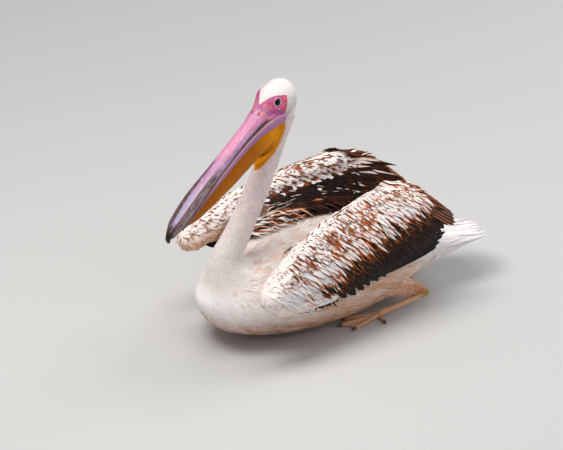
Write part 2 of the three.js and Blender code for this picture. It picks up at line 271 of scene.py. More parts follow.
def applied(piece, kind, **settings):
    pick(piece)
    modifier = piece.modifiers.new("step", kind)
    for key, value in settings.items():
        setattr(modifier, key, value)
    bpy.ops.object.modifier_apply(modifier=modifier.name)


def softShade(piece):
    pick(piece)
    bpy.ops.object.shade_smooth()


# A sphere whose every point is put at place(t, angle), pole to pole.
def ball(name, segments, rings, place):
    clear()
    bpy.ops.mesh.primitive_uv_sphere_add(segments=segments, ring_count=rings, radius=1)
    piece = bpy.context.object
    piece.name = name
    co = corners(piece)
    pole = np.hypot(co[:, 0], co[:, 1]) < 1e-4
    t = (1 - co[:, 2]) / 2
    made = place(t, np.arctan2(co[:, 0], co[:, 1]))
    top, low = co[:, 2] > 0.9999, co[:, 2] < -0.9999
    for end in (top & pole, low & pole):
        ring = np.abs(t - t[end][0]) < (1 - math.cos(math.pi / rings)) * 0.51
        made[end] = made[ring & ~pole].mean(0)
    moveCorners(piece, made * mm)
    outward(piece)
    return piece


def outward(piece):
    pick(piece)
    bpy.ops.object.mode_set(mode="EDIT")
    bpy.ops.mesh.select_all(action="SELECT")
    bpy.ops.mesh.remove_doubles(threshold=1e-6)
    bpy.ops.mesh.normals_make_consistent(inside=False)
    bpy.ops.object.mode_set(mode="OBJECT")


def slab(name, columns, rows, place, thickness):  # a plate on the surface place(u, v)
    clear()
    bpy.ops.mesh.primitive_grid_add(x_subdivisions=columns, y_subdivisions=rows, size=1)
    piece = bpy.context.object
    piece.name = name
    co = corners(piece)
    moveCorners(piece, place(co[:, 0] + 0.5, co[:, 1] + 0.5) * mm)
    applied(piece, "SOLIDIFY", thickness=thickness * mm, offset=0)
    outward(piece)
    return piece


def joinPieces(name, pieces):
    clear()
    for piece in pieces:
        piece.select_set(True)
    bpy.context.view_layer.objects.active = pieces[0]
    bpy.ops.object.join()
    bpy.context.object.name = name
    return bpy.context.object


def remesh(piece, voxel):
    pick(piece)
    piece.data.remesh_voxel_size = voxel * mm
    bpy.ops.object.voxel_remesh()


def finishPiece(piece, nodes, material):
    piece.data.materials.clear()
    piece.data.materials.append(material)
    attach(piece, "root")
    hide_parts(*nodes)


def addNode(tree, kind, inputs=None, **settings):  # gives back the new node's outputs
    made = tree.nodes.new("ShaderNode" + kind)
    for key, value in settings.items():
        setattr(made, key, value)
    for key, value in (inputs or {}).items():
        if isinstance(value, bpy.types.NodeSocket):
            tree.links.new(value, made.inputs[key])
        else:
            made.inputs[key].default_value = value
    return made.outputs


def newMaterial(name, **surface):
    material = bpy.data.materials.new(name)
    material.use_nodes = True
    tree = material.node_tree
    shader = tree.nodes["Principled BSDF"]
    for key, value in surface.items():
        shader.inputs[key.replace("_", " ")].default_value = value
    return material, tree, shader


def mixColours(tree, share, a, b, mode="MIX"):
    return addNode(tree, "Mix", {0: share, 6: a, 7: b}, data_type="RGBA", blend_type=mode)[2]


def four(code):
    return (*linear(code), 1)


# Feather vane: keratin barbs hooked side by side along a shaft. It is matt with a slight silky sheen, the
# shaft and the barbs show as fine lines, and worn or coloured edges and tips follow the vane's own shape.
def featherMaterial(name, roughness, barbs, shaft, sheen=0.25, gloss=0.3):
    material, tree, shader = newMaterial(name, Roughness=roughness, IOR=1.54, Sheen_Weight=sheen,
                                         Sheen_Roughness=0.4)
    shader.inputs["Specular IOR Level"].default_value = gloss
    tint = addNode(tree, "Attribute", attribute_name="tint")["Color"]
    marks = addNode(tree, "Attribute", attribute_name="markTint")["Color"]
    vane = addNode(tree, "Attribute", attribute_name="vane")["Vector"]
    pattern = addNode(tree, "Attribute", attribute_name="pattern")["Vector"]
    v = addNode(tree, "SeparateXYZ", {0: vane})
    p = addNode(tree, "SeparateXYZ", {0: pattern})
    across = addNode(tree, "Math", {0: v[0]}, operation="ABSOLUTE")[0]
    end = addNode(tree, "Math", {0: v[1], 1: 0.86}, operation="MULTIPLY")[0]
    rim = addNode(tree, "Math", {0: across, 1: end}, operation="MAXIMUM")[0]
    low = addNode(tree, "Math", {0: v[1], 1: 0.86}, operation="SUBTRACT")[0]
    reach = addNode(tree, "CombineXYZ", {0: v[0], 1: low})[0]
    far = addNode(tree, "VectorMath", {0: reach, 1: (0.85, 2.2, 0)}, operation="MULTIPLY")[0]
    off = addNode(tree, "VectorMath", {0: far}, operation="LENGTH")["Value"]

    def mark(width, scale, distance, softness):  # full where the distance is well inside the mark's width
        over = addNode(tree, "Math", {0: width, 1: scale}, operation="MULTIPLY")[0]
        inside = addNode(tree, "Math", {0: over, 1: distance}, operation="SUBTRACT")[0]
        return addNode(tree, "MapRange", {0: inside, 1: 0.0, 2: softness})[0]

    inner = addNode(tree, "Math", {0: 1.0, 1: rim}, operation="SUBTRACT")[0]
    marked = [mark(p[0], 0.75, off, 0.12), mark(p[1], 0.5, across, 0.1), mark(p[2], 0.55, inner, 0.1)]
    most = addNode(tree, "Math", {0: marked[0], 1: marked[1]}, operation="MAXIMUM")[0]
    most = addNode(tree, "Math", {0: most, 1: marked[2]}, operation="MAXIMUM")[0]
    colour = mixColours(tree, most, tint, marks)
    slant = addNode(tree, "Math", {0: across, 1: 0.5, 2: v[1]}, operation="MULTIPLY_ADD")[0]
    waves = addNode(tree, "Math", {0: slant, 1: barbs}, operation="MULTIPLY")[0]
    comb = addNode(tree, "Math", {0: waves}, operation="SINE")[0]
    shade = addNode(tree, "MapRange", {0: comb, 1: -1.0, 2: 1.0, 3: 0.9, 4: 1.0})[0]
    tone = addNode(tree, "CombineColor", {0: shade, 1: shade, 2: shade})[0]
    colour = mixColours(tree, 1.0, colour, tone, "MULTIPLY")
    thin = addNode(tree, "MapRange", {0: across, 1: 0.07, 2: 0.03, 4: shaft[1]})[0]
    colour = mixColours(tree, thin, colour, four(shaft[0]))
    relief = addNode(tree, "Bump", {"Strength": 0.25, "Distance": 0.0004, "Height": comb})[0]
    tree.links.new(colour, shader.inputs["Base Color"])
    tree.links.new(relief, shader.inputs["Normal"])
    return material


# Bare skin of the face and the down-covered hide under the feathers: soft, finely wrinkled and blotched
# where the blood shows through, with little gloss.
def skinMaterial():
    material, tree, shader = newMaterial("bareFacialSkin", Roughness=0.55, IOR=1.42)
    shader.inputs["Specular IOR Level"].default_value = 0.3
    tint = addNode(tree, "Attribute", attribute_name="tint")["Color"]
    bare = addNode(tree, "Attribute", attribute_name="bare")["Fac"]
    place = addNode(tree, "TexCoord")["Object"]
    fine = addNode(tree, "TexNoise",
                   {"Vector": place, "Scale": 300, "Detail": 4, "Roughness": 0.6})[0]
    broad = addNode(tree, "TexNoise",
                    {"Vector": place, "Scale": 110, "Detail": 4, "Roughness": 0.65})[0]
    warm = addNode(tree, "TexNoise",
                   {"Vector": place, "Scale": 170, "Detail": 3, "Roughness": 0.6})[0]
    cells = addNode(tree, "TexVoronoi", {"Vector": place, "Scale": 700}, feature="F1")["Distance"]
    colour = tint
    for field, low, high, amount, code in ((broad, 0.46, 0.6, 0.65, "#8C4486"),
                                           (warm, 0.52, 0.66, 0.6, "#E07F76"),
                                           (fine, 0.56, 0.68, 0.55, "#EDB4C4")):
        share = addNode(tree, "MapRange", {0: field, 1: low, 2: high, 4: amount})[0]
        share = addNode(tree, "Math", {0: share, 1: bare}, operation="MULTIPLY")[0]
        colour = mixColours(tree, share, colour, four(code))
    tree.links.new(colour, shader.inputs["Base Color"])
    height = addNode(tree, "Math", {0: fine, 1: cells}, operation="ADD")[0]
    relief = addNode(tree, "Bump", {"Strength": 0.5, "Distance": 0.0007, "Height": height})[0]
    tree.links.new(relief, shader.inputs["Normal"])
    return material


# Bill sheath: layered horn, worn smooth, with a low gloss, fine lengthwise grain, and blotches and pale worn
# streaks a few millimetres wide that run along it.
def hornMaterial(name, dark, pale, amounts, roughness=0.42, grain=1.0):
    material, tree, shader = newMaterial(name, Roughness=roughness, IOR=1.55, Coat_Weight=0.08,
                                         Coat_Roughness=0.35)
    shader.inputs["Specular IOR Level"].default_value = 0.3
    tint = addNode(tree, "Attribute", attribute_name="tint")["Color"]
    share = addNode(tree, "Attribute", attribute_name="blotched")["Fac"]
    place = addNode(tree, "Attribute", attribute_name="facePlace")["Vector"]
    drawn = addNode(tree, "VectorMath", {0: place, 1: (2.6, 0.9, 2.6)}, operation="MULTIPLY")[0]
    colour = tint
    for code, amount, scale, low, high in ((pale, amounts[1], 0.9, 0.5, 0.64),
                                           (dark, amounts[0], 1.5, 0.52, 0.62),
                                           (pale, amounts[1] * 0.6, 3.2, 0.56, 0.66)):
        field = addNode(tree, "TexNoise",
                        {"Vector": drawn, "Scale": scale, "Detail": 5, "Roughness": 0.68})[0]
        mask = addNode(tree, "MapRange", {0: field, 1: low, 2: high, 4: amount})[0]
        mask = addNode(tree, "Math", {0: mask, 1: share}, operation="MULTIPLY")[0]
        colour = mixColours(tree, mask, colour, four(code))
    tree.links.new(colour, shader.inputs["Base Color"])
    fibre = addNode(tree, "VectorMath", {0: place, 1: (14, 0.8, 14)}, operation="MULTIPLY")[0]
    lines = addNode(tree, "TexNoise", {"Vector": fibre, "Scale": 1.5, "Detail": 4})[0]
    relief = addNode(tree, "Bump",
                     {"Strength": 0.35 * grain, "Distance": 0.0006, "Height": lines})[0]
    tree.links.new(relief, shader.inputs["Normal"])
    return material


# Throat pouch: thin elastic bare skin, slightly greasy, with small wrinkles across its pull, painted darker
# in their hollows and lighter on their ridges as painted shade and light.
def pouchMaterial():
    material, tree, shader = newMaterial("elasticPouchSkin", Roughness=0.5, IOR=1.44)
    shader.inputs["Specular IOR Level"].default_value = 0.12
    tint = addNode(tree, "Attribute", attribute_name="tint")["Color"]
    place = addNode(tree, "Attribute", attribute_name="facePlace")["Vector"]
    drawn = addNode(tree, "VectorMath", {0: place, 1: (1.2, 0.45, 2.2)}, operation="MULTIPLY")[0]
    folds = addNode(tree, "TexNoise",
                    {"Vector": drawn, "Scale": 2.4, "Detail": 6, "Roughness": 0.62, "Distortion": 0.4})[0]
    grains = addNode(tree, "TexNoise", {"Vector": place, "Scale": 9, "Detail": 3})[0]
    # painted shade in the wrinkles' hollows and painted light on their ridges, from the same noise as the
    # relief
    wrinkleShade = addNode(tree, "MapRange", {0: folds, 1: 0.4, 2: 0.62, 3: 0.78, 4: 1.12})[0]
    tone = addNode(tree, "CombineColor", {0: wrinkleShade, 1: wrinkleShade, 2: wrinkleShade})[0]
    colour = mixColours(tree, 1.0, tint, tone, "MULTIPLY")
    tree.links.new(colour, shader.inputs["Base Color"])
    height = addNode(tree, "Math", {0: folds, 1: grains}, operation="ADD")[0]
    relief = addNode(tree, "Bump", {"Strength": 0.5, "Distance": 0.0012, "Height": height})[0]
    tree.links.new(relief, shader.inputs["Normal"])
    return material


# Eye: a wet cornea over a dark iris, so the only brightness is the sharp highlight.
def eyeMaterial():
    material, tree, shader = newMaterial("wetCornea", Roughness=0.05, IOR=1.38)
    shader.inputs["Specular IOR Level"].default_value = 0.35
    tint = addNode(tree, "Attribute", attribute_name="tint")["Color"]
    tree.links.new(tint, shader.inputs["Base Color"])
    return material


# Shank and toes: horny scutes, plates about 3 mm long, dull with a slight gloss on each plate.
def scaleMaterial():
    material, tree, shader = newMaterial("scalyLegSkin", Roughness=0.5, IOR=1.5)
    tint = addNode(tree, "Attribute", attribute_name="tint")["Color"]
    place = addNode(tree, "TexCoord")["Object"]
    cells = addNode(tree, "TexVoronoi", {"Vector": place, "Scale": 330},
                    feature="DISTANCE_TO_EDGE")["Distance"]
    groove = addNode(tree, "MapRange", {0: cells, 1: 0.0, 2: 0.12, 3: 0.6, 4: 1.0})[0]
    tone = addNode(tree, "CombineColor", {0: groove, 1: groove, 2: groove})[0]
    tree.links.new(mixColours(tree, 1.0, tint, tone, "MULTIPLY"), shader.inputs["Base Color"])
    relief = addNode(tree, "Bump", {"Strength": 0.6, "Distance": 0.0008, "Height": groove})[0]
    tree.links.new(relief, shader.inputs["Normal"])
    return material


wingOut = np.array(wing["out"])


def outerLine(side, u, s):  # on the line from ridge to hem, before it bulges
    a = spline(wing["ridge"], u)
    b = spline(lifted(wing["hem"], side), u)
    return a + (b - a) * np.asarray(s)[..., None]


def armLine(u, v):
    a = spline(wing["ridge"], 0.3 + 0.7 * np.asarray(u))
    b = spline(wing["seat"], u)
    p = a + (b - a) * np.asarray(v)[..., None]
    p[..., 2] += 22 * np.asarray(v) - 22
    return p


def covertLine(side, u, v):
    s = 0.04 + 0.62 * np.asarray(v)
    return outerLine(side, u, s) + wingOut * (30 * np.sin(math.pi * s) - 8)[..., None]


skinLook = {
    "voxel": 4.3, "smoothRounds": 3, "neckRounds": 80,
    "trunkDepth": 5.5, "neckDepth": 2.8, "headDepth": 2.0, "wingDepth": 5.0, "thighDepth": 3.0,
    "plateThickness": 9, "armThickness": 13,
}


def skullInset(t):
    ahead = -spline(np.array(body["skull"])[:, :3], t)[..., 1] / 10
    bareFront = smooth(-1.5, 1.5, ahead)
    return skinLook["headDepth"] * (1 - bareFront) + 0.6 * bareFront + 3.0 * smooth(4.0, 6.0, ahead)


def makeSkin():
    parts = [
        ball("trunk", 64, 60, lambda t, a: loft("trunk", t, a, skinLook["trunkDepth"])),
        ball("neck", 40, 60, lambda t, a: loft("neck", t, a, skinLook["neckDepth"])),
        ball("skull", 64, 48, lambda t, a: fromHead(loft("skull", t, a, skullInset(t)))),
    ]
    for side in sides.values():
        lift = wing["rightLift"] if side < 0 else 0
        parts += [
            ball("cheek", 24, 20, lambda t, a: fromHead(flip(loft("cheek", t, a), side))),
            ball("thigh", 24, 20, lambda t, a: flip(loft("thigh", t, a, skinLook["thighDepth"]), side)),
            ball("forearm", 32, 32, lambda t, a: flip(loft("forearm", t, a, skinLook["wingDepth"]), side)),
            ball("hand", 24, 20, lambda t, a: flip(loft("hand", t, a, 3.0, lift), side)),
            slab("covertPlate", 24, 14, lambda u, v: flip(covertLine(side, u, v * 0.66), side),
                 skinLook["plateThickness"]),
            slab("armPlate", 20, 12, lambda u, v: flip(armLine(u, v), side), skinLook["armThickness"]),
        ]
    skin = joinPieces("skin", parts)
    remesh(skin, skinLook["voxel"])
    applied(skin, "SMOOTH", factor=0.5, iterations=skinLook["smoothRounds"])
    co = corners(skin) / mm  # the foot of the neck runs into the breast and back without a fold
    around = 1 - smooth(60, 110, np.hypot(co[:, 0], 0.9 * (co[:, 1] + 225)))
    foot = around * smooth(118, 140, co[:, 2]) * (1 - smooth(225, 275, co[:, 2]))
    group = skin.vertex_groups.new(name="neckFoot")
    for index in np.flatnonzero(foot > 0.02).tolist():
        group.add([index], float(foot[index]), "REPLACE")
    applied(skin, "SMOOTH", factor=0.9, iterations=skinLook["neckRounds"], vertex_group="neckFoot")
    skin.vertex_groups.clear()
    for reach in (0, 1):  # finer faces on the head, finest round the eyes
        pick(skin)
        centre = np.empty(len(skin.data.polygons) * 3, np.float32)
        skin.data.polygons.foreach_get("center", centre)
        left, ahead, up = faceOf(centre.reshape(-1, 3) / mm)
        if reach == 0:
            chosen = (ahead > -4.5) & (up > -6.5) & (ahead < 8)
        else:
            chosen = (ahead > -3.2) & (up > -4.6) & (up < 2.2) & (ahead < 6.5) & (np.abs(left) > 1.0)
        bpy.context.tool_settings.mesh_select_mode = (False, False, True)
        bpy.ops.object.mode_set(mode="EDIT")
        bpy.ops.mesh.select_all(action="DESELECT")
        bpy.ops.object.mode_set(mode="OBJECT")
        skin.data.polygons.foreach_set("select", chosen)
        bpy.ops.object.mode_set(mode="EDIT")
        bpy.ops.mesh.subdivide(number_cuts=1, smoothness=0.6)
        bpy.ops.object.mode_set(mode="OBJECT")
    return skin


eyeAxis = unit(np.array([1.0, 0.18, 0.2]))  # the way the left eye looks: left, ahead, up
eyeSpot = np.array([head["eyeAcross"], head["eyeAhead"], head["eyeUp"]]) / 10


def eyeDistance(left, ahead, up):  # from the eye's axis, and along it, in centimetres
    d = np.stack([np.abs(left), ahead, up], -1) - eyeSpot
    depth = d @ eyeAxis
    return 0.93 * np.sqrt(np.maximum((d ** 2).sum(-1) - depth ** 2, 0)), depth


def shapeFace(skin):  # the opening of the lids, their raised rims and the folds round them
    co = corners(skin)
    left, ahead, up = faceOf(co / mm)
    r, depth = eyeDistance(left, ahead, up)
    near = (np.abs(left) > 1.2) & (r < 2.2) & (depth > 0)
    lid = np.sqrt(np.maximum(0.88 ** 2 - np.minimum(r, 0.72) ** 2, 0)) + 0.08
    wanted = lid + 0.1 * bump(r, 0.96, 0.13) + 0.02 * bump(r, 1.25, 0.1)
    wanted = np.where(r < 0.69, -0.25,
                      blend(-0.25 + 0 * r[:, None], wanted[:, None], smooth(0.69, 0.76, r))[:, 0])
    move = (wanted - depth) * (1 - smooth(0.95, 1.55, r))
    furrow = -0.05 * bump(r, 1.7, 0.1)
    way = np.column_stack([np.sign(left) * eyeAxis[0], np.full(len(left), eyeAxis[1]),
                           np.full(len(left), eyeAxis[2])])
    step = np.column_stack([way[:, 0], -way[:, 1], way[:, 2]]) * ((move + furrow) * near * 10)[:, None]
    moved = fromHead(toHead(co / mm) + step) * mm
    co[near] = moved[near]
    co[:, 2] = np.maximum(co[:, 2], 0.6 * mm)
    moveCorners(skin, co)


print("skin")
skin = makeSkin()
shapeFace(skin)
softShade(skin)
skinTree = BVHTree.FromObject(skin, bpy.context.evaluated_depsgraph_get())


# Sample points over the body, each with its region, its place in it and the way feathers lie there.
def guide():
    def over(region, side, place, lie, across, along):
        a, b = np.meshgrid((np.arange(across) + 0.5) / across, (np.arange(along) + 0.5) / along,
                           indexing="ij")
        a, b = a.ravel(), b.ravel()
        p = place(a, b)
        kind, which = np.full(len(a), region), np.full(len(a), side)
        return np.column_stack([flip(p, side), flip(lie(a, b, p), side), kind, which, a, b])

    def tubeLie(name, sign, start=0.0, share=1.0, **options):
        def lie(a, b, p):
            t = b * share + start
            further = loft(name, t + 0.004, a * fullTurn, **options)
            return unit(sign * (further - loft(name, t - 0.004, a * fullTurn, **options)))
        return lie

    def trunkLie(a, b, p):
        lie = tubeLie("trunk", -1)(a, b, p)
        down = smooth(170, 285, -p[:, 1])[:, None]
        return unit(lie * (1 - 0.5 * down) + np.array([0, 0.15, -1.5]) * down)

    def skullLie(a, b, p):
        nape = smooth(-10, 60, p[:, 1])[:, None]
        return unit(tubeLie("skull", -1, 0.02, 0.97)(a, b, p) + np.array([0, 0.2, -0.75]) * nape)

    outer = np.array([0.10, 0.72, -0.68])
    inner = np.array([-0.22, 0.86, -0.42])

    def forearmLie(a, b, p):
        centre = spline(np.array(body["forearm"])[:, :3], b)
        facing = unit(p - centre) @ wingOut
        share = smooth(-0.15, 0.55, facing)[:, None]
        return unit(inner * (1 - share) + outer * share)

    def armLie(a, b, p):
        seatward = unit(spline(wing["seat"], a + 0.01) - spline(wing["seat"], a - 0.01))
        return unit(blend(np.tile(inner, (len(a), 1)), seatward, smooth(0.25, 0.9, b)))

    skull = over(2, 1, lambda a, b: loft("skull", b * 0.97 + 0.02, a * fullTurn, 1.5), skullLie, 40, 40)
    skull[:, :3] = fromHead(skull[:, :3])
    skull[:, 3:6] = skull[:, 3:6] @ turn.T
    rows = [
        over(0, 1, lambda a, b: loft("trunk", b, a * fullTurn, 5), trunkLie, 56, 70),
        over(1, 1, lambda a, b: loft("neck", b * 0.86 + 0.14, a * fullTurn, 2.5),
             tubeLie("neck", -1, 0.14, 0.86), 32, 60),
        skull,
    ]
    for side in (1, -1):
        lift = wing["rightLift"] if side < 0 else 0

        def outerLie(a, b, p):
            return unit(outerLine(side, a, b + 0.01) - outerLine(side, a, b - 0.01))

        rows += [
            over(3, side, lambda a, b: loft("thigh", b, a * fullTurn, 3), tubeLie("thigh", 1), 16, 14),
            over(4, side, lambda a, b: loft("forearm", b, a * fullTurn, 4), forearmLie, 24, 40),
            over(5, side, lambda a, b: covertLine(side, a, b * 0.66) + wingOut * 4, outerLie, 40, 18),
            over(6, side, lambda a, b: armLine(a, b) + np.array([-3, 0, 5]), armLie, 34, 20),
            over(7, side, lambda a, b: loft("hand", b, a * fullTurn, 3, lift),
                 tubeLie("hand", 1, lift=lift), 14, 20),
        ]
    return np.vstack(rows)


samples = guide()
guideTree = KDTree(len(samples))
for index, row in enumerate(samples):
    guideTree.insert(row[:3], index)
guideTree.balance()


def lookUp(points):  # region, side, place and smoothed lie at each point, in millimetres
    near = [[f[1] for f in guideTree.find_n(p, 5)] for p in points.tolist()]
    near = np.array(near)
    found = samples[near[:, 0]]
    lie = samples[near][:, :, 3:6].mean(1)
    return found[:, 6].astype(int), found[:, 7], found[:, 8], found[:, 9], unit(lie)


def nearestSkin(points):
    found = [skinTree.find_nearest(p) for p in (points * mm).tolist()]
    place = np.array([tuple(f[0]) for f in found]) / mm
    normal = np.array([tuple(f[1]) for f in found])
    return place, normal


def layAlong(roots, lengths, lifts, steps=4, drop=0.4):  # paths over the skin along the lie of the coat
    place, normal = nearestSkin(roots)
    paths, normals = [], []
    heading = None
    for k in range(steps + 1):
        share = k / steps
        rise = -drop + lifts * share ** 0.8
        paths.append(place + normal * rise[:, None])
        normals.append(normal)
        if k == steps:
            break
        lie = lookUp(place)[4]
        heading = lie if heading is None else unit(heading * 0.4 + lie * 0.6)
        flat = unit(heading - normal * (heading * normal).sum(1, keepdims=True))
        heading = flat
        place, fresh = nearestSkin(place + flat * (lengths / steps)[:, None])
        normal = unit(normal * 0.35 + fresh * 0.65)
    return np.stack(paths, 1), np.stack(normals, 1)


def outlineOf(y, belly, point):
    opening = 0.34 + 0.66 * smooth(0, belly, y)
    close = np.maximum(0, 1 - np.clip((y - belly) / (1 - belly), 0, 1) ** point[0]) ** point[1]
    return opening * close


def smallFeather(cuts, belly, point):  # a three-sided sliver, pointed at the tip
    clear()
    bpy.ops.mesh.primitive_cone_add(vertices=3, radius1=1, depth=1, location=(0, 0, 0.5))
    piece = bpy.context.object
    bpy.ops.object.mode_set(mode="EDIT")
    for cutAt in cuts:
        bpy.ops.mesh.select_all(action="SELECT")
        bpy.ops.mesh.bisect(plane_co=(0, 0, cutAt), plane_no=(0, 0, 1))
    bpy.ops.mesh.select_all(action="SELECT")
    bpy.ops.mesh.quads_convert_to_tris()
    bpy.ops.mesh.normals_make_consistent(inside=False)
    bpy.ops.object.mode_set(mode="OBJECT")
    co = corners(piece)
    along = np.clip(co[:, 2], 0, 1)
    turned = np.arctan2(co[:, 0], co[:, 1])
    tip = along > 0.999
    across = np.where(tip, 0, np.round(np.sin(turned) / 0.866, 3))
    high = np.where(tip, 0, np.where(np.abs(across) < 0.1, 1.0, -0.2))
    return collect(piece, across, along, high, outlineOf(along, belly, point))


def broadFeather(columns, rows, belly, point):  # a thin plate with a vane on both sides of the shaft
    clear()
    bpy.ops.mesh.primitive_grid_add(x_subdivisions=columns, y_subdivisions=rows, size=2)
    piece = bpy.context.object
    applied(piece, "SOLIDIFY", thickness=0.02, offset=0)
    outward(piece)
    co = corners(piece)
    across = np.clip(co[:, 0], -1, 1)
    along = np.clip((co[:, 1] + 1) / 2, 0, 1)
    along = np.where(along > 0.5, 1 - 2 * (1 - along) ** 2, along)
    high = np.sign(co[:, 2])
    wide = np.maximum(outlineOf(along, belly, point), 0.05)
    return collect(piece, across, along, high, wide)


def collect(piece, across, along, high, wide):
    mesh = piece.data
    loops = np.empty(len(mesh.loops), np.int32)
    mesh.loops.foreach_get("vertex_index", loops)
    totals = np.empty(len(mesh.polygons), np.int32)
    mesh.polygons.foreach_get("loop_total", totals)
    bpy.data.objects.remove(piece)
    return {"across": across, "along": along, "high": high, "wide": wide, "loops": loops, "totals": totals}


# One mesh from a copy of the shape for every row.
def plant(name, shape, rows, material, nodes, floor=0.4):
    path, normal = rows["path"], rows["normal"]
    count, steps = path.shape[0], path.shape[1] - 1
    tangent = np.gradient(path, axis=1)
    s = shape["along"] * steps
    i = np.minimum(s.astype(int), steps - 1)
    f = (s - i)[None, :, None]

    def along(values):
        return values[:, i] * (1 - f) + values[:, i + 1] * f

    centre, up, ahead = along(path), unit(along(normal)), unit(along(tangent))
    cross = unit(np.cross(ahead, up))
    roll = rows.get("roll", np.zeros(count))[:, None, None]
    across = cross * np.cos(roll) + up * np.sin(roll)
    upright = np.cross(across, ahead)
    width = rows["width"][:, None] * shape["wide"][None]
    arch = rows.get("arch", np.zeros(count))[:, None] * (shape["across"] ** 2)[None] * width
    thick = rows["thick"][:, None] * shape["high"][None]
    bend = rows.get("bend", np.zeros(count))[:, None] * shape["along"][None] ** 2
    sideways = across * (shape["across"][None] * width + bend)[..., None]
    co = centre + sideways + upright * (thick - arch)[..., None]
    co[..., 2] = np.maximum(co[..., 2], floor)
    size = len(shape["along"])
    mesh = bpy.data.meshes.new(name)
    mesh.vertices.add(count * size)
    mesh.vertices.foreach_set("co", (co * mm).astype(np.float32).ravel())
    loops = (shape["loops"][None] + (np.arange(count) * size)[:, None]).ravel()
    totals = np.tile(shape["totals"], count)
    mesh.loops.add(len(loops))
    mesh.loops.foreach_set("vertex_index", loops.astype(np.int32))
    mesh.polygons.add(len(totals))
    mesh.polygons.foreach_set("loop_start", (np.cumsum(totals) - totals).astype(np.int32))
    mesh.update(calc_edges=True)
    piece = bpy.data.objects.new(name, mesh)
    bpy.context.collection.objects.link(piece)
    pick(piece)
    bpy.ops.object.shade_smooth_by_angle(angle=math.radians(50))

    def each(values):
        return np.repeat(values, size, axis=0)

    paint(piece, "tint", np.clip(each(rows["tint"]), 0, 1))
    paint(piece, "markTint", np.clip(each(rows["mark"]), 0, 1))
    keep(piece, "pattern", each(rows["pattern"]), "FLOAT_VECTOR")
    vane = np.column_stack([np.tile(shape["across"], count), np.tile(shape["along"], count),
                            each(dice.random((count, 1)))])
    keep(piece, "vane", vane, "FLOAT_VECTOR")
    patch = np.column_stack([shape["across"] * shape["wide"], shape["along"] * 2 - 1]) * 0.0015
    uv = (0.02 + 0.96 * np.clip(rows["uv"], 0, 1))[:, None, :] + patch[None]
    layer = mesh.uv_layers.new(name="OFBake")
    layer.data.foreach_set("uv", uv.reshape(-1, 2)[loops].astype(np.float32).ravel())
    finishPiece(piece, nodes, material)
    faces = int((totals - 2).sum())
    print(name, count, "feathers", faces, "triangles")
    return piece


def gather(rows, chosen):
    return {key: value[chosen] for key, value in rows.items()}


def candidates(total):
    mesh = skin.data
    mesh.calc_loop_triangles()
    tri = np.empty(len(mesh.loop_triangles) * 3, np.int32)
    mesh.loop_triangles.foreach_get("vertices", tri)
    co = corners(skin)[tri.reshape(-1, 3)] / mm
    area = np.linalg.norm(np.cross(co[:, 1] - co[:, 0], co[:, 2] - co[:, 0]), axis=1)
    facing = unit(np.cross(co[:, 1] - co[:, 0], co[:, 2] - co[:, 0]))
    middle = co.mean(1)
    slim = np.hypot(middle[:, 0], (middle[:, 1] + 120) / 3) < 75
    area = area * (1 + 3 * (slim & (middle[:, 2] > 190)) + 4 * (slim & (middle[:, 2] > 545)))
    chosen = dice.choice(len(area), total, p=area / area.sum())
    a, b = dice.random((2, total, 1))
    turned = a + b > 1
    a, b = np.where(turned, 1 - a, a), np.where(turned, 1 - b, b)
    t = co[chosen]
    return t[:, 0] + a * (t[:, 1] - t[:, 0]) + b * (t[:, 2] - t[:, 0]), facing[chosen]


def spread(points, gaps):  # keeps points no nearer to each other than the gap at each
    cell = float(gaps.max())
    grid, kept = {}, []
    keys = np.floor(points / cell).astype(int)
    steps = [(a, b, c) for a in (-1, 0, 1) for b in (-1, 0, 1) for c in (-1, 0, 1)]
    flat = points.tolist()
    for index, (x, y, z) in enumerate(keys.tolist()):
        p = flat[index]
        limit = gaps[index] ** 2
        clash = False
        for a, b, c in steps:
            for q in grid.get((x + a, y + b, z + c), ()):
                if (p[0] - q[0]) ** 2 + (p[1] - q[1]) ** 2 + (p[2] - q[2]) ** 2 < limit:
                    clash = True
                    break
            if clash:
                break
        if not clash:
            grid.setdefault((x, y, z), []).append(p)
            kept.append(index)
    return np.array(kept)


def bareShare(points):  # 1 on the naked skin of the face
    left, ahead, up = faceOf(points)
    gap = np.abs(left)
    top = gap - 0.6 * (3.62 - ahead)
    back = up + 0.9 * ahead + 2.04
    lower = up - (-4.6 - 0.35 * (ahead - 1))
    inside = np.minimum(np.minimum(top, back), lower)
    front = ahead - 3.7
    return np.where((ahead > -4) & (up > -8) & (gap < 5.5),
                    smooth(-0.05, 0.08, np.maximum(inside, front)), 0)


throatEdge = {  # how far back the yellow skin reaches on the neck's sides, at each height
    "heights": [424, 440, 452, 472, 496, 525, 545, 560, 575, 592],
    "back": [-150, -137, -127, -109, -93, -80, -77, -85, -92, -98],
}


def throatShare(points):  # 1 where the yellow skin of the throat covers the front of the neck
    edge = np.interp(points[:, 2], throatEdge["heights"], throatEdge["back"])
    share = smooth(-1.0, 1.0, edge - points[:, 1]) * smooth(424, 430, points[:, 2])
    _, ahead, up = faceOf(points)
    under = 1 - smooth(-4.0, -3.6, up + 0.35 * (1 - ahead) * (ahead < 1))
    return share * under * (np.abs(points[:, 0]) < 60)


plumage = {
    "white": "#FCF6F3", "head": "#DED8D6", "neck": "#F8E5E3", "lilac": "#DCD2DA", "cream": "#F9EEE6",
    "peach": "#EFBC96", "belly": "#AE6232", "flank": "#D69C70", "tan": "#B8957C", "rufous": "#CC6A2C",
    "brown": "#4E2210", "dark": "#1D0E0A", "black": "#0D0706", "umber": "#24120C", "grey": "#1B1618",
    "silver": "#DADCE6",
    "throat": "#E09000", "straw": "#D49050", "wristTan": "#DCAE8A",
}
shades = {name: linear(code) for name, code in plumage.items()}


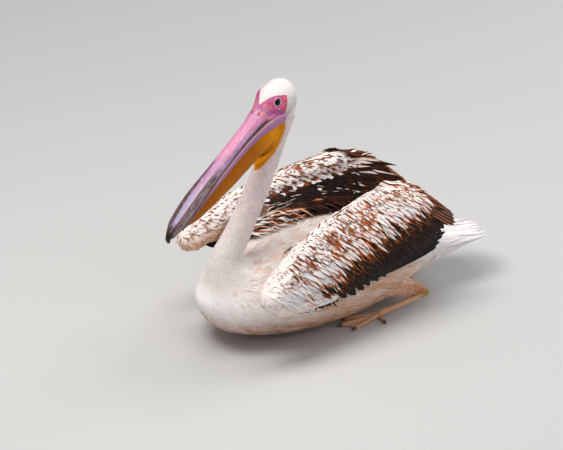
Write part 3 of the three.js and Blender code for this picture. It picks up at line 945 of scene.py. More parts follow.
def trunkTint(p):
    x, y, z = p[:, 0], p[:, 1], p[:, 2]
    colour = np.tile(shades["white"], (len(p), 1))
    drawn = p * np.array([1, 0.3, 1])
    upper = smooth(110, 170, z) * smooth(-290, -220, y)
    colour = blend(colour, shades["cream"], 0.25 * upper)
    stain = bump(x, 58, 34) * bump(y, -50, 90)  # a rusty patch beside the left wing
    streaks = 0.02 + 0.4 * ripple(drawn, 16, 3) + 0.2 * ripple(drawn, 6, 4) + 0.4 * stain
    streaks = np.clip(streaks, 0, 0.5 + 0.35 * stain)
    colour = blend(colour, shades["peach"], streaks * upper * (1 - smooth(170, 320, y)))
    # Towards the bottom the feathers deepen to orange-brown: partly a peach tint of the belly, partly painted
    # shade and warm reflected light under the body.
    low = 1 - smooth(42, 116, z)
    mottled = np.clip(0.82 + 0.3 * ripple(drawn, 30, 5) + 0.15 * ripple(drawn, 8, 7), 0, 1)
    colour = blend(colour, shades["belly"], mottled * low)
    # Painted shade under the wing: the sides below it are tinted tan.
    flank = smooth(60, 110, np.abs(x)) * (1 - smooth(120, 165, z))
    flank = flank * smooth(-160, -20, y) * (1 - smooth(200, 330, y))
    colour = blend(colour, shades["flank"], np.clip(0.6 + 0.3 * ripple(drawn, 24, 6), 0, 0.9) * flank)
    return blend(colour, shades["lilac"], 0.45 * smooth(210, 360, y) * (1 - 0.5 * low))


def neckTint(p):
    low = 1 - smooth(230, 330, p[:, 2])
    colour = blend(np.tile(shades["neck"], (len(p), 1)), shades["white"], low)
    cool = np.clip(0.15 + 0.2 * ripple(p, 30, 9) + 0.3 * ripple(p * np.array([1, 1, 4]), 18, 8), 0, 0.5)
    colour = blend(colour, shades["lilac"], (1 - 0.8 * (1 - smooth(160, 260, p[:, 2]))) * cool)
    return blend(colour, shades["cream"], 0.5 * (1 - smooth(-170, -150, p[:, 1] + 0.5 * (p[:, 2] - 300))))


def headTint(p):
    _, ahead, up = faceOf(p)
    colour = np.tile(shades["head"], (len(p), 1))
    ear = bump(ahead + 0.25 * (up + 4), 0.3, 1.0) * bump(up, -4.3, 1.1)
    colour = blend(colour, shades["tan"], 0.9 * ear * np.clip(0.8 + 0.4 * ripple(p, 6, 12), 0, 1))
    return blend(colour, shades["neck"], 1 - smooth(-6.5, -3.5, up))


def innerBorder(u, p):  # how far down the wing's inner face the pale feathers reach
    return 0.4 + 0.06 * ripple(p, 50, 21) - 0.14 * smooth(0.65, 0.95, u)


print("roots")
points, facings = candidates(260000)
region, sideOf, spotA, spotB, _ = lookUp(points)
bareness = bareShare(points)
gapFor = np.array([6.4, 3.2, 2.5, 4.6, 5.4, 6.0, 6.9, 4.6])
gaps = gapFor[region]
chestward = (region == 0) & (points[:, 1] < -150)
gaps = np.where(chestward, 4.9, gaps)
neckFoot = (region == 1) & (points[:, 2] < 250)
gaps = np.where(neckFoot, 2.6 + 2.0 * (1 - smooth(150, 250, points[:, 2])), gaps)
useful = (bareness < 0.5) & (throatShare(points) < 0.4) & (points[:, 2] > 1.5)
useful &= region != 5  # the outer face has its own rows
facingOut = (facings * np.column_stack([sideOf, np.ones(len(sideOf)), np.ones(len(sideOf))])) @ wingOut
useful &= ~((region == 4) & (facingOut > 0.55) & (spotB > 0.06))
useful &= ~((region == 6) & (spotB > 0.78) & (facings[:, 2] < -0.5))
useful &= ~((region >= 4) & (region <= 6) & (facingOut < -0.2) & (facings[:, 2] < -0.35))
index = np.flatnonzero(useful)
blocked = np.array([skinTree.ray_cast(Vector(p * mm) + Vector(n) * 0.004, Vector(n), 0.03)[0] is not None
                    for p, n in zip(points[index], facings[index])])
index = index[~blocked]
kept = index[spread(points[index], gaps[index])]
roots, region, sideOf, spotA, spotB = points[kept], region[kept], sideOf[kept], spotA[kept], spotB[kept]
print("roots kept", len(kept), [int((region == k).sum()) for k in range(8)])

downMaterial = featherMaterial("softBodyPlumage", 0.75, 24, ("#F4E8DC", 0.15))
covertMaterial = featherMaterial("spottedCovertVane", 0.7, 40, ("#9A5A34", 0.18), 0.03, 0.18)
flightMaterial = featherMaterial("darkFlightVane", 0.55, 160, ("#5A3A2C", 0.3), 0.02, 0.2)
tailMaterial = featherMaterial("whiteTailVane", 0.66, 120, ("#E8D8CC", 0.5))
sliver = smallFeather((0.14, 0.4, 0.7), 0.35, (2.2, 0.8))
lance = broadFeather(2, 5, 0.45, (2.0, 0.7))
lancet = broadFeather(2, 7, 0.4, (1.35, 0.9))
blade = broadFeather(4, 10, 0.55, (3.4, 0.6))
quillShape = broadFeather(4, 10, 0.6, (2.2, 0.8))


def jitter(count, spreadBy):
    return 1 + spreadBy * dice.uniform(-1, 1, count)


def plainRows(chosen, length, width, lift, thick, tint, unrest=0.5, uneven=0.05):
    count = len(chosen)
    lengths = length * jitter(count, 0.2)
    path, normal = layAlong(roots[chosen], lengths, lift * jitter(count, unrest))
    around = np.column_stack([spotA[chosen], spotB[chosen]])
    shaded = tint * (1 + uneven * dice.uniform(-1, 1, (count, 1)))
    return {
        "path": path, "normal": normal, "width": width * jitter(count, 0.18),
        "thick": np.full(count, thick),
        "roll": 0.12 * dice.uniform(-1, 1, count), "bend": 0.1 * lengths * dice.uniform(-1, 1, count),
        "tint": shaded, "mark": tint * 0.8, "pattern": np.zeros((count, 3)), "uv": around,
    }


def warmed(tint, p, share):  # single feathers stained with rust and tan
    stained = dice.random(len(p)) < share
    return blend(tint, shades["peach"], stained * dice.uniform(0.2, 0.6, len(p)))


print("body plumage")
trunkRoots = np.flatnonzero(region == 0)
tailward = smooth(-200, 250, roots[trunkRoots][:, 1])
p = roots[trunkRoots]
stains = 0.3 * smooth(110, 170, p[:, 2]) * smooth(-280, -200, p[:, 1])
stains = 0.1 + stains + 0.35 * (1 - smooth(40, 120, p[:, 2]))
breast = 1 - smooth(-250, -60, p[:, 1])  # shorter and closer than on the back
lengths = 28 + 18 * tailward - 11 * breast
widths = 3.9 + 1.5 * tailward - 1.0 * breast
lifts = 3.4 + 3.0 * tailward - 1.6 * breast
tint = warmed(trunkTint(p), p, stains * (1 - 0.85 * breast))
rows = plainRows(trunkRoots, lengths, widths, lifts, 0.55, tint, 0.6, 0.07)
half = np.arange(len(trunkRoots)) % 2 == 0
plant("plumageTrunk", sliver, gather(rows, half), downMaterial, ["trunk"])
plant("plumageTrunkUpper", sliver, gather(rows, ~half), downMaterial, ["trunk"])
underWing = (np.abs(p[:, 0]) > 70) & (p[:, 2] > 95) & (p[:, 1] > 60)
loose = trunkRoots[(dice.random(len(trunkRoots)) < 0.3) & (p[:, 2] > 60) & (p[:, 1] > -270) & ~underWing]
q = roots[loose]
mixed = blend(trunkTint(q), shades["cream"], dice.uniform(0, 0.8, len(q)))
stained = (dice.random(len(q)) < 0.3) * dice.uniform(0.2, 0.7, len(q)) * (1 - smooth(150, 280, q[:, 1]))
mixed = blend(mixed, shades["peach"], stained)
rearward = smooth(160, 320, q[:, 1])
rows = plainRows(loose, 46 + 26 * rearward, 2.5 + 1.6 * rearward, 5 + 8 * rearward, 0.45, mixed, 0.5, 0.08)
plant("plumageLoose", sliver, rows, downMaterial, ["trunk"])
neckRoots = np.flatnonzero(region == 1)
# Longer and smoother where the neck runs into the breast.
base = 1 - smooth(150, 260, roots[neckRoots][:, 2])
tint, uneven = neckTint(roots[neckRoots]), 0.12 - 0.06 * base[:, None]
rows = plainRows(neckRoots, 13 + 7 * base, 1.9 + 0.9 * base, 3.0 - 1.0 * base, 0.35, tint, 0.7, uneven)
plant("plumageNeck", sliver, rows, downMaterial, ["neck_lower", "neck_middle", "neck_upper"])
headRoots = np.flatnonzero(region == 2)
rows = plainRows(headRoots, 9.5, 1.7, 1.3, 0.2, headTint(roots[headRoots]))
plant("plumageHead", sliver, rows, downMaterial, ["head"])
thighRoots = np.flatnonzero(region == 3)
# The thighs take 60% of the belly's orange-brown, which is partly painted shade and reflected light.
thighTint = blend(trunkTint(roots[thighRoots]), shades["belly"], 0.6)
rows = plainRows(thighRoots, 15, 2.8, 2.4, 0.4, thighTint)
plant("plumageThighs", sliver, rows, downMaterial, ["leg_left_thigh", "leg_right_thigh"])

faceLook = {
    "pink": "#B4487C", "violet": "#8E4C8C", "red": "#D04C62", "lid": "#F0C6CE",
    "orange": "#E08C6A", "billPink": "#C080A6", "cheek": "#A8709C", "lidEdge": "#1A0C0C",
}
faceShades = {name: linear(code) for name, code in faceLook.items()}


def faceTint(p):
    left, ahead, up = faceOf(p)
    r, depth = eyeDistance(left, ahead, up)
    colour = np.tile(faceShades["pink"], (len(p), 1))
    colour = blend(colour, faceShades["violet"], bump(ahead, 1.9, 1.3) * bump(up, -1.4, 1.1))
    colour = blend(colour, faceShades["red"],
                   0.9 * (1 - smooth(-0.4, 1.0, up + 0.6 * ahead)) * (1 - smooth(0.6, 2.2, ahead)))
    colour = blend(colour, faceShades["orange"], 0.55 * bump(ahead, 3.1, 0.7) * bump(up, 0.9, 0.8))
    colour = blend(colour, faceShades["billPink"], smooth(3.0, 4.6, ahead))
    colour = blend(colour, faceShades["cheek"],
                   0.85 * bump(up - 0.28 * (3.2 - ahead) + 2.9, 0, 0.7) * smooth(0.8, 2.0, ahead))
    colour = blend(colour, faceShades["lid"],
                   smooth(0.74, 0.8, r) * (1 - smooth(1.0, 1.12, r)) * (depth > 0))
    return blend(colour, faceShades["lidEdge"], (1 - smooth(0.73, 0.79, r)) * (depth > -0.5))


def paintSkin():
    co = corners(skin) / mm
    area, side, a, b, _ = lookUp(co)
    colour = np.zeros((len(co), 3))
    for code, tint in ((0, trunkTint), (1, neckTint), (2, headTint), (3, trunkTint)):
        chosen = area == code
        colour[chosen] = tint(co[chosen])
    inside = area == 6
    dark = np.zeros(len(co))
    dark[inside] = smooth(-0.1, 0.1, b[inside] - innerBorder(a[inside], co[inside]))
    dark[area == 5] = smooth(0.55, 0.75, b[area == 5])
    hidden = (side > 0) * inside * (1 - smooth(-60, 10, co[:, 1]))  # pale by the left wrist
    dark = dark * (1 - hidden)
    wings = area >= 4
    pale = np.tile(shades["cream"], (int(wings.sum()), 1))
    colour[wings] = blend(pale, shades["brown"], 0.85 * (inside * (1 - hidden))[wings])
    colour[wings] = blend(colour[wings], shades["dark"], dark[wings])
    bare = bareShare(co)
    colour = blend(colour, faceTint(co), bare)
    colour = blend(colour, shades["throat"], throatShare(co))
    paint(skin, "tint", np.clip(colour, 0, 1))
    keep(skin, "bare", bare, "FLOAT")


paintSkin()
skinNodes = ["trunk", "neck_lower", "neck_middle", "neck_upper", "head", "leg_left_thigh",
             "leg_right_thigh"]
skinNodes += [f"wing_{name}_{part}" for name in sides for part in ("forearm", "hand", "upper_arm")]
finishPiece(skin, skinNodes, skinMaterial())
print("skin faces", len(skin.data.polygons))


wingLook = {
    "small": {
        "from": 0.012, "to": 0.28, "exposure": 9.5, "spacing": 9.5, "length": 27, "width": 4.4, "lift": 3.6,
    },
    "middle": {
        "from": 0.2, "to": 0.46, "exposure": 16, "spacing": 12.5, "length": 50, "width": 5.6, "lift": 5.2,
    },
    "great": {
        "from": 0.44, "to": 0.66, "exposure": 17, "spacing": 12.5, "length": 68, "width": 6.0, "lift": 5.0,
    },
    "fleck": {
        "from": 0.0, "to": 0.34, "exposure": 7.5, "spacing": 8, "length": 18, "width": 1.8, "lift": 6.2,
    },
    "hair": {
        "length": 44, "width": 1.9, "lift": 8.6, "count": 76,
        "offsets": (-0.34, -0.25, -0.17, -0.1, -0.03, 0.04, 0.1),
    },
    "blackFrom": [[0, 1.3], [0.1, 1.1], [0.22, 0.92], [0.42, 0.76], [0.7, 0.72], [0.95, 0.7]],
    "elbow": {"count": 16, "out": (0.4, 0.3, 0.85), "bow": 16, "width": 4.6, "thick": 0.4, "roll": 0.1},
    "secondaries": {
        "count": 24, "out": wingOut, "bow": 26, "shift": (-15, 0, -5), "width": 13, "thick": 0.6,
        "roll": 0.12,
    },
    "tertials": {
        "count": 8, "out": (0.4, 0.3, 0.85), "bow": 16, "shift": (0, 0, 3), "width": 14, "thick": 0.7,
        "roll": 0.14,
    },
    "primaries": {
        "count": 10, "out": (1, 0, 0), "bow": -6, "shift": (0, 0, 0), "width": 11, "thick": 0.7,
        "roll": 0.05,
    },
}


def outerHeights(side):  # how far the dressed wing's outer face stands off the line from ridge to hem
    u, s = np.meshgrid(np.linspace(0, 1, 49), np.linspace(0, 1.05, 43), indexing="ij")
    base = outerLine(side, u.ravel(), s.ravel())
    flesh = []
    way = flip(wingOut, side)
    for p in flip(base, side):
        hit = skinTree.ray_cast(Vector((p + way * 120) * mm), Vector(-way), 0.16)
        flesh.append(-99 if hit[0] is None else 120 - hit[3] / mm)
    flesh = np.array(flesh).reshape(u.shape)
    plate = 30 * np.sin(math.pi * s) - 8 + 10 - 6.5 * np.clip((s - 0.04) / 0.62, 0, 1)
    fan = 26 * np.sin(math.pi * np.clip(s, 0, 1)) - 15.8 + 4.5
    share = smooth(0.5, 0.86, s)
    height = np.maximum(plate * (1 - share) + fan * share,
                        np.where((s < 0.5) | (u < 0.45), flesh + 2.5, -99))
    for _ in range(3):
        padded = np.pad(height, 1, mode="edge")
        around = padded[:-2, 1:-1] + padded[2:, 1:-1] + padded[1:-1, :-2] + padded[1:-1, 2:]
        height = (around + 2 * height) / 6
    return height


def heightAt(heights, u, s):
    a = np.clip(u, 0, 1) * 48
    b = np.clip(s / 1.05, 0, 1) * 42
    i, j = np.minimum(a.astype(int), 47), np.minimum(b.astype(int), 41)
    f, g = a - i, b - j
    return (heights[i, j] * (1 - f) * (1 - g) + heights[i + 1, j] * f * (1 - g)
            + heights[i, j + 1] * (1 - f) * g + heights[i + 1, j + 1] * f * g)


def outerFace(side, heights, u, s):
    return outerLine(side, u, s) + wingOut * heightAt(heights, u, s)[..., None]


def outerPaths(side, heights, u, s, lengths, lifts, steps=5):
    a, b = spline(wing["ridge"], u), spline(lifted(wing["hem"], side), u)
    reach = np.linalg.norm(b - a, axis=1)
    shares = np.linspace(0, 1, steps + 1)
    uu = np.repeat(u[:, None], steps + 1, 1)
    ss = s[:, None] + (lengths / reach)[:, None] * shares[None]
    p = outerFace(side, heights, uu, ss)
    du = outerFace(side, heights, uu + 0.01, ss) - outerFace(side, heights, uu - 0.01, ss)
    ds = outerFace(side, heights, uu, ss + 0.01) - outerFace(side, heights, uu, ss - 0.01)
    normal = unit(np.cross(ds, du))
    normal *= np.sign((normal @ wingOut))[..., None]
    rise = -2.2 + lifts[:, None] * shares[None] ** 0.9
    p = p + normal * rise[..., None]
    return flip(p, side), flip(normal, side)


def wingRow(side, heights, u, s, look, scale, tint, mark, pattern, slim=1.0):
    count = len(u)
    lengths = look["length"] * scale * jitter(count, 0.2)
    path, normal = outerPaths(side, heights, u, s, lengths, look["lift"] * jitter(count, 0.35))
    return {
        "path": path, "normal": normal, "width": look["width"] * scale * slim * jitter(count, 0.16),
        "thick": np.full(count, 0.45),
        "roll": side * 0.13 * jitter(count, 0.8), "bend": lengths * 0.09 * dice.uniform(-1, 1, count),
        "arch": np.full(count, 0.14), "tint": tint, "mark": mark, "pattern": pattern,
        "uv": np.column_stack([u * 0.5 + (0.5 if side < 0 else 0), s]),
    }


def stacked(blocks):
    return {key: np.concatenate([b[key] for b in blocks]) for key in blocks[0]}


def edged(edge):  # a pattern of coloured edges alone
    return np.column_stack([0 * edge, 0 * edge, edge])


def tones(name, count, spreadBy=0.05):
    return shades[name] * (1 + spreadBy * dice.uniform(-1, 1, (count, 1)))


def rusty(count, least, most):  # rufous to dark brown
    return blend(tones("rufous", count, 0.2), shades["brown"], dice.uniform(least, most, count))


def vaneLook(kind, u, s, tip, wander):  # colour, mark and the three marks' widths of each covert
    count = len(u)
    wrist, elbow = 1 - smooth(0.05, 0.32, u), smooth(0.68, 0.88, u) * (1 - smooth(0.3, 0.5, s))
    slim = np.ones(count)
    tint, mark = tones("white", count, 0.06), rusty(count, 0, 0.6)
    r = dice.random(count)
    spot, streak, edge = np.zeros(count), np.zeros(count), np.zeros(count)
    if kind == "small":
        dotted = dice.random(count) < (0.95 - 0.8 * wrist) * (1 - 0.5 * elbow)
        spot = dotted * np.clip(0.66 + 0.3 * wander + dice.uniform(-0.2, 0.2, count), 0.2, 1)
        edge = (dice.random(count) < 0.8 - 0.72 * wrist) * dice.uniform(0.3, 0.7, count)
        mark = rusty(count, 0.05, 0.8)
        tint = blend(blend(tint, shades["cream"], 0.5 * elbow), shades["peach"], 0.1 * wrist)
        brown = r < (0.27 + 0.14 * wander) * (1 - 0.93 * wrist) * (1 - 0.85 * elbow)
        slim = np.where(brown, 0.55, 1)
        tint = blend(tint, rusty(count, 0.1, 0.9), brown)
        spot, edge = np.where(brown, 0, spot), np.where(brown, 0, edge)
    else:
        plain = r > 0.84 - 0.4 * wrist
        bare = (r < (0.12 + 0.07 * wander) * (1 - 0.85 * wrist) * (1 - 0.6 * elbow)) & (kind == "middle")
        slim = np.where(bare, 0.6, 1)
        edge = np.clip(0.58 + 0.2 * wander + dice.uniform(-0.25, 0.2, count), 0.2, 0.9)
        edge = edge * (1 - 0.6 * wrist) * (1 - 0.5 * elbow)
        edge = np.where(plain, 0.1, edge)
        tint = blend(tint, shades["silver"], 0.5 * plain)
        tint = blend(tint, tones("rufous", count, 0.25), bare)
        mark = blend(mark, shades["white"], bare)
        streak, edge = np.where(bare, 0.5, 0), np.where(bare, 0, edge)
        line = np.array(wingLook["blackFrom"])
        past = tip - np.interp(u, line[:, 0], line[:, 1])
        deep = past + 0.06 * dice.uniform(-1, 1, count) > 0
        near = bump(past, 0.0, 0.12)
        tint = blend(tint, tones("black", count, 0.3), deep)
        mark = blend(mark, tones("rufous", count, 0.25), deep)
        edge = np.where(deep, 0.1 + 0.4 * near * dice.random(count), np.clip(edge + 0.2 * near, 0, 1))
        streak = np.where(deep, 0, streak)
    return tint, mark, np.column_stack([spot, streak, edge]), slim


def covertRows(side, heights):
    blocks = {"small": [], "middle": [], "great": []}
    for kind in blocks:
        look = wingLook[kind]
        rows = round((look["to"] - look["from"]) * 200 / look["exposure"])
        for row in range(rows):
            count = int(500 / look["spacing"])
            u = (np.arange(count) + 0.5 * (row % 2) + 0.25 + dice.uniform(-0.25, 0.25, count)) / count
            u = u[(u > 0) & (u < 1)]
            at = row + 0.5 + dice.uniform(-0.4, 0.4, len(u))
            s = look["from"] + (look["to"] - look["from"]) * at / rows
            reach = np.linalg.norm(spline(lifted(wing["hem"], side), u) - spline(wing["ridge"], u), axis=1)
            scale = np.sqrt(np.clip(reach / 195, 0.3, 1))
            wander = ripple(np.column_stack([u * 500, s * 200, 0 * u]), 80, 31)
            tip = s + look["length"] * scale / reach
            keepers = tip < 1.16
            u, s, scale, wander, tip = (values[keepers] for values in (u, s, scale, wander, tip))
            looks = vaneLook(kind, u, s, tip, wander)
            blocks[kind].append(wingRow(side, heights, u, s, look, scale, *looks))
    return stacked(blocks["small"]), stacked(blocks["middle"]), stacked(blocks["great"])


def fleckRows(side, heights):  # dark narrow feathers that show between the pale ones
    look = wingLook["fleck"]
    rows = round((look["to"] - look["from"]) * 200 / look["exposure"])
    blocks = []
    for row in range(rows):
        count = int(500 / look["spacing"])
        u = (np.arange(count) + 0.5 * (row % 2) + dice.uniform(-0.3, 0.3, count)) / count
        u = u[(u > 0.02) & (u < 0.99)]
        share = 0.8 - 0.55 * (1 - smooth(0.1, 0.36, u)) - 0.5 * smooth(0.7, 0.9, u)
        u = u[dice.random(len(u)) < share * (1 - 0.55 * smooth(2, rows, row))]
        at = row + 0.5 + dice.uniform(-0.45, 0.45, len(u))
        s = look["from"] + (look["to"] - look["from"]) * at / rows
        reach = np.linalg.norm(spline(lifted(wing["hem"], side), u) - spline(wing["ridge"], u), axis=1)
        scale = np.sqrt(np.clip(reach / 195, 0.4, 1)) * (0.8 + 0.7 * smooth(0.12, 0.34, s))
        tint, mark = rusty(len(u), 0.1, 0.95), tones("brown", len(u))
        blocks.append(wingRow(side, heights, u, s, look, scale, tint, mark, np.zeros((len(u), 3))))
    return stacked(blocks)


# Long loose barbs, rust to tan, that trail from the pale coverts over the black.
def hairRows(side, heights):
    look = wingLook["hair"]
    line = np.array(wingLook["blackFrom"])
    blocks = []
    for offset in look["offsets"]:
        count = look["count"]
        u = (np.arange(count) + dice.uniform(0, 1, count)) / count
        reach = np.linalg.norm(spline(lifted(wing["hem"], side), u) - spline(wing["ridge"], u), axis=1)
        tip = np.interp(u, line[:, 0], line[:, 1]) + offset + 0.04 * dice.uniform(-1, 1, len(u))
        share = (1.0 - 0.55 * (offset < -0.15)) * (0.35 + 0.65 * smooth(0.12, 0.32, u))
        fits = (tip < 1.0) & (dice.random(len(u)) < share)
        u, tip, reach = u[fits], tip[fits], reach[fits]
        s = tip - look["length"] / reach
        rust = rusty(len(u), 0, 0.5)
        straw = dice.uniform(0.1, 0.8, len(u)) * (dice.random(len(u)) < 0.65)
        tint = blend(rust, shades["straw"], straw)
        scale, pattern = np.ones(len(u)), np.zeros((len(u), 3))
        blocks.append(wingRow(side, heights, u, s, look, scale, tint, tint * 0.8, pattern))
    return stacked(blocks)


def fanRows(side, begin, end, fan, span=(0, 1.0), steps=10, us=None):  # feathers spread between two lines
    count, out = fan["count"], np.array(fan["out"])
    u = (np.arange(count) + 0.5) / count if us is None else us
    share = np.linspace(0, 1, steps + 1)[None] * (span[1] - span[0]) + span[0]
    share = share * (1 + 0.02 * dice.uniform(-1, 1, (count, 1)))

    def place(uu, ss):
        a, b = spline(begin, uu), spline(end, uu)
        bulge = (fan["bow"] * np.sin(math.pi * np.clip(ss, 0, 1)))[..., None]
        return a + (b - a) * ss[..., None] + out * bulge + np.array(fan["shift"])

    uu = np.repeat(u[:, None], steps + 1, 1)
    p = place(uu, share)
    du = place(uu + 0.01, share) - place(uu - 0.01, share)
    ds = place(uu, share + 0.01) - place(uu, share - 0.01)
    normal = unit(np.cross(ds, du))
    normal *= np.sign(normal @ out)[..., None]
    p = p + normal * (0.35 * (np.arange(count) % 3))[:, None, None]
    return {
        "path": flip(p, side), "normal": flip(normal, side), "width": fan["width"] * jitter(count, 0.06),
        "thick": np.full(count, fan["thick"]), "roll": np.full(count, side * fan["roll"]),
        "arch": np.full(count, 0.1),
        "bend": 3 * dice.uniform(-1, 1, count), "uv": np.column_stack([u, np.full(count, span[0])]),
    }


def trailRows(side):  # longer coverts of the inner face that trail over the root of the tertials
    blocks = []
    for row, start in enumerate((0.78, 0.86, 0.93, 0.99)):
        count = 20
        v = (np.arange(count) + dice.uniform(0, 1, count)) / count * 0.98 + 0.01
        u = start + 0.03 * dice.uniform(-1, 1, count)
        seat = armLine(u, v)
        ahead = unit(seat - armLine(u - 0.12, v))
        down = armLine(u, v + 0.02) - armLine(u, v - 0.02)
        normal = unit(np.cross(ahead, down))
        normal *= np.sign(normal @ np.array([-0.7, 0, 0.7]))[:, None]
        lengths = (44 + 16 * row) * jitter(count, 0.25)
        share = np.linspace(0, 1, 7)[None, :, None]
        sink = np.array([0, 0, -1]) * (lengths * 0.16)[:, None]
        p = seat[:, None] + ahead[:, None] * lengths[:, None, None] * share
        p = p + sink[:, None] * share ** 2 + normal[:, None] * (5 + 5 * share)
        pale = dice.random(count) < np.interp(v, [0, 0.12, 0.25, 1], [0.85, 0.6, 0.14, 0.08])
        dark = tones("umber", count, 0.4)
        creamy = blend(tones("white", count), shades["cream"], dice.random(count))
        tint = blend(dark, creamy, pale)
        edge = np.where(pale, 0.3 + 0.4 * dice.random(count), 0.4 * dice.random(count))
        blocks.append({
            "path": flip(p, side), "normal": np.repeat(flip(normal, side)[:, None], 7, 1),
            "width": 5.2 * jitter(count, 0.3), "thick": np.full(count, 0.45),
            "roll": 0.15 * dice.uniform(-1, 1, count), "arch": np.full(count, 0.1), "tint": tint,
            "mark": rusty(count, 0, 0.8), "pattern": edged(edge), "uv": np.column_stack([u, v]),
            "bend": 6 * dice.uniform(-1, 1, count),
        })
    return stacked(blocks)


def scapularRows(side):  # loose streaky feathers from the wing's inner edge over the back
    blocks = []
    for row, v in enumerate((0.8, 0.88, 0.96)):
        count = 62
        u = (np.arange(count) + dice.uniform(0, 1, count)) / count - 0.02
        seat = flip(armLine(u, np.full(count, v)), side)
        before, behind = np.clip(u + 0.02, 0, 1), np.clip(u - 0.02, 0, 0.98)
        ahead = flip(unit(spline(wing["seat"], before) - spline(wing["seat"], behind)), side)
        start, up = nearestSkin(seat)
        lengths = (36 + 14 * smooth(0.3, 0.6, u)) * jitter(count, 0.4)
        aside = np.array([-1.0, 0, -0.35]) * (14 + 7 * row + 13 * dice.uniform(-1, 1, (count, 1)))
        goal = start + ahead * lengths[:, None] + flip(aside, side)
        tip, tipUp = nearestSkin(goal)
        tip = tip + tipUp * (4.0 + 1.5 * dice.random((count, 1)))
        share = np.linspace(0, 1, 6)[None, :, None]
        normal = unit(up[:, None] * (1 - share) + tipUp[:, None] * share)
        p = (start + up)[:, None] * (1 - share) + tip[:, None] * share
        p = p + normal * 5 * np.sin(share * math.pi)
        kind = np.clip(dice.random(count) + 0.62 * smooth(0.2, 0.5, u) - 0.1 * (row == 2) * (u < 0.4), 0, 1)
        cream, rust = tones("cream", count), rusty(count, 0, 0.6)
        peach = blend(tones("peach", count), shades["rufous"], dice.random(count) * 0.6)
        brown = blend(tones("brown", count, 0.3), shades["dark"], dice.random(count))
        tint = np.select([kind[:, None] < most for most in (0.34, 0.54, 0.7)], [cream, rust, peach], brown)
        blocks.append({
            "path": p, "normal": normal, "width": 1.9 * jitter(count, 0.4), "thick": np.full(count, 0.4),
            "roll": 0.12 * dice.uniform(-1, 1, count), "arch": np.full(count, 0.1),
            "tint": tint, "mark": tint * 0.7, "pattern": np.zeros((count, 3)),
            "uv": np.column_stack([np.clip(u, 0, 1), np.full(count, v)]),
            "bend": 5 * dice.uniform(-1, 1, count),
        })
    return stacked(blocks)


def coloured(rows, tint, mark, pattern):
    count = len(rows["width"])
    rows["tint"], rows["mark"] = tones(tint, count, 0.12), tones(mark, count, 0.15)
    rows["pattern"] = np.tile(np.array(pattern, float), (count, 1)) * dice.uniform(0.6, 1, (count, 1))
    return rows


def elbowRows(side):  # the loose pale coverts that sweep back over the tertials
    blocks = []
    for row in range(5):
        fan = {**wingLook["elbow"], "shift": (0, 0, 9.0 - 1.2 * row)}
        count = fan["count"]
        start = -0.08 + 0.09 * row
        us = (np.arange(count) + 0.5 + dice.uniform(-0.3, 0.3, count)) / count
        rows = fanRows(side, wing["tertialRoots"], wing["tertialTips"], fan, (start, start + 0.26), steps=6,
                       us=us)
        loose = np.linspace(0, 1, 7)[None, :, None] ** 1.5 * dice.uniform(0, 9, (count, 1, 1))
        rows["path"] += rows["normal"] * loose
        white = dice.random(count) < (0.85 - 0.17 * row) * (1 if side > 0 else 0.35)
        black = tones("black", count, 0.3)
        creamy = blend(tones("white", count), shades["cream"], dice.random(count))
        rows["tint"] = blend(black, creamy, white)
        rows["mark"] = rusty(count, 0 if side > 0 else 0.4, 0.5 if side > 0 else 1)
        rows["pattern"] = edged(np.where(white, 0.15 + 0.35 * dice.random(count), 0.6))
        rows["bend"] = 5 * dice.uniform(-1, 1, count)
        blocks.append(rows)
    return stacked(blocks)


def plantCoverts(name, outline, rows, sideName):
    nodes = [f"wing_{sideName}_forearm"]
    plant(f"coverts{name}{sideName.title()}", outline, rows, covertMaterial, nodes)


print("wings")
for sideName, side in sides.items():
    heights = outerHeights(side)
    small, middle, great = covertRows(side, heights)
    plantCoverts("Small", lance, small, sideName)
    plantCoverts("Middle", lancet, middle, sideName)
    plantCoverts("Great", lancet, great, sideName)
    plantCoverts("Fleck", sliver, fleckRows(side, heights), sideName)
    plantCoverts("Hair", sliver, hairRows(side, heights), sideName)
    plantCoverts("Elbow", lancet, elbowRows(side), sideName)
    flights = (
        ("secondaries", wing["ridge"], lifted(wing["hem"], side), (0.36, 1.0), "black", "brown",
         (0, 0, 0.14)),
        ("tertials", wing["tertialRoots"], wing["tertialTips"], (0, 1.0), "umber", "rufous", (0, 0, 0.3)),
        ("primaries", lifted(wing["primaryRoots"], side), wing["primaryTips"], (0, 1.0), "grey", "silver",
         (0, 0.06, 0)),
    )
    for name, begin, end, span, tint, mark, pattern in flights:
        rows = coloured(fanRows(side, begin, end, wingLook[name], span), tint, mark, pattern)
        plant(f"{name}{sideName.title()}", blade, rows, flightMaterial,
              [f"wing_{sideName}_{name}"])

# Small feathers over the top of the forearm, the inner face, the hand and the wrist.
wingRoots = np.flatnonzero(region >= 4)
area, v = region[wingRoots], spotB[wingRoots]
p = roots[wingRoots]
count, which = len(wingRoots), sideOf[wingRoots]
front = 1 - smooth(-150, -90, p[:, 1] - 90 * (which > 0) * (area == 6))
onInner = area == 6
border = innerBorder(spotA[wingRoots], p)
depth = np.where(onInner, v - border, -0.5) - 0.8 * front
dark = depth + 0.1 * dice.uniform(-1, 1, count) > 0.06
scapular = smooth(0.72, 0.86, v) * onInner
tint = tones("white", count, 0.06)
rust, deep = rusty(count, 0.3, 1), tones("dark", count, 0.3)
mark = blend(rust, deep, smooth(-0.25, 0.1, depth + 0.15 * dice.uniform(-1, 1, count)))
spot = np.clip(0.5 + 0.3 * ripple(p, 60, 17) + dice.uniform(-0.2, 0.2, count), 0, 0.8)
spot = spot * (dice.random(count) < 0.75) * ~onInner
nearWrist = front * (which > 0)
spot = spot * (1 - 0.5 * ((area == 7) & (which > 0))) * (dice.random(count) > 0.6 * nearWrist)
innerEdge = 0.44 + 0.3 * smooth(-0.4, 0.1, depth) + 0.18 * dice.uniform(-1, 1, count)
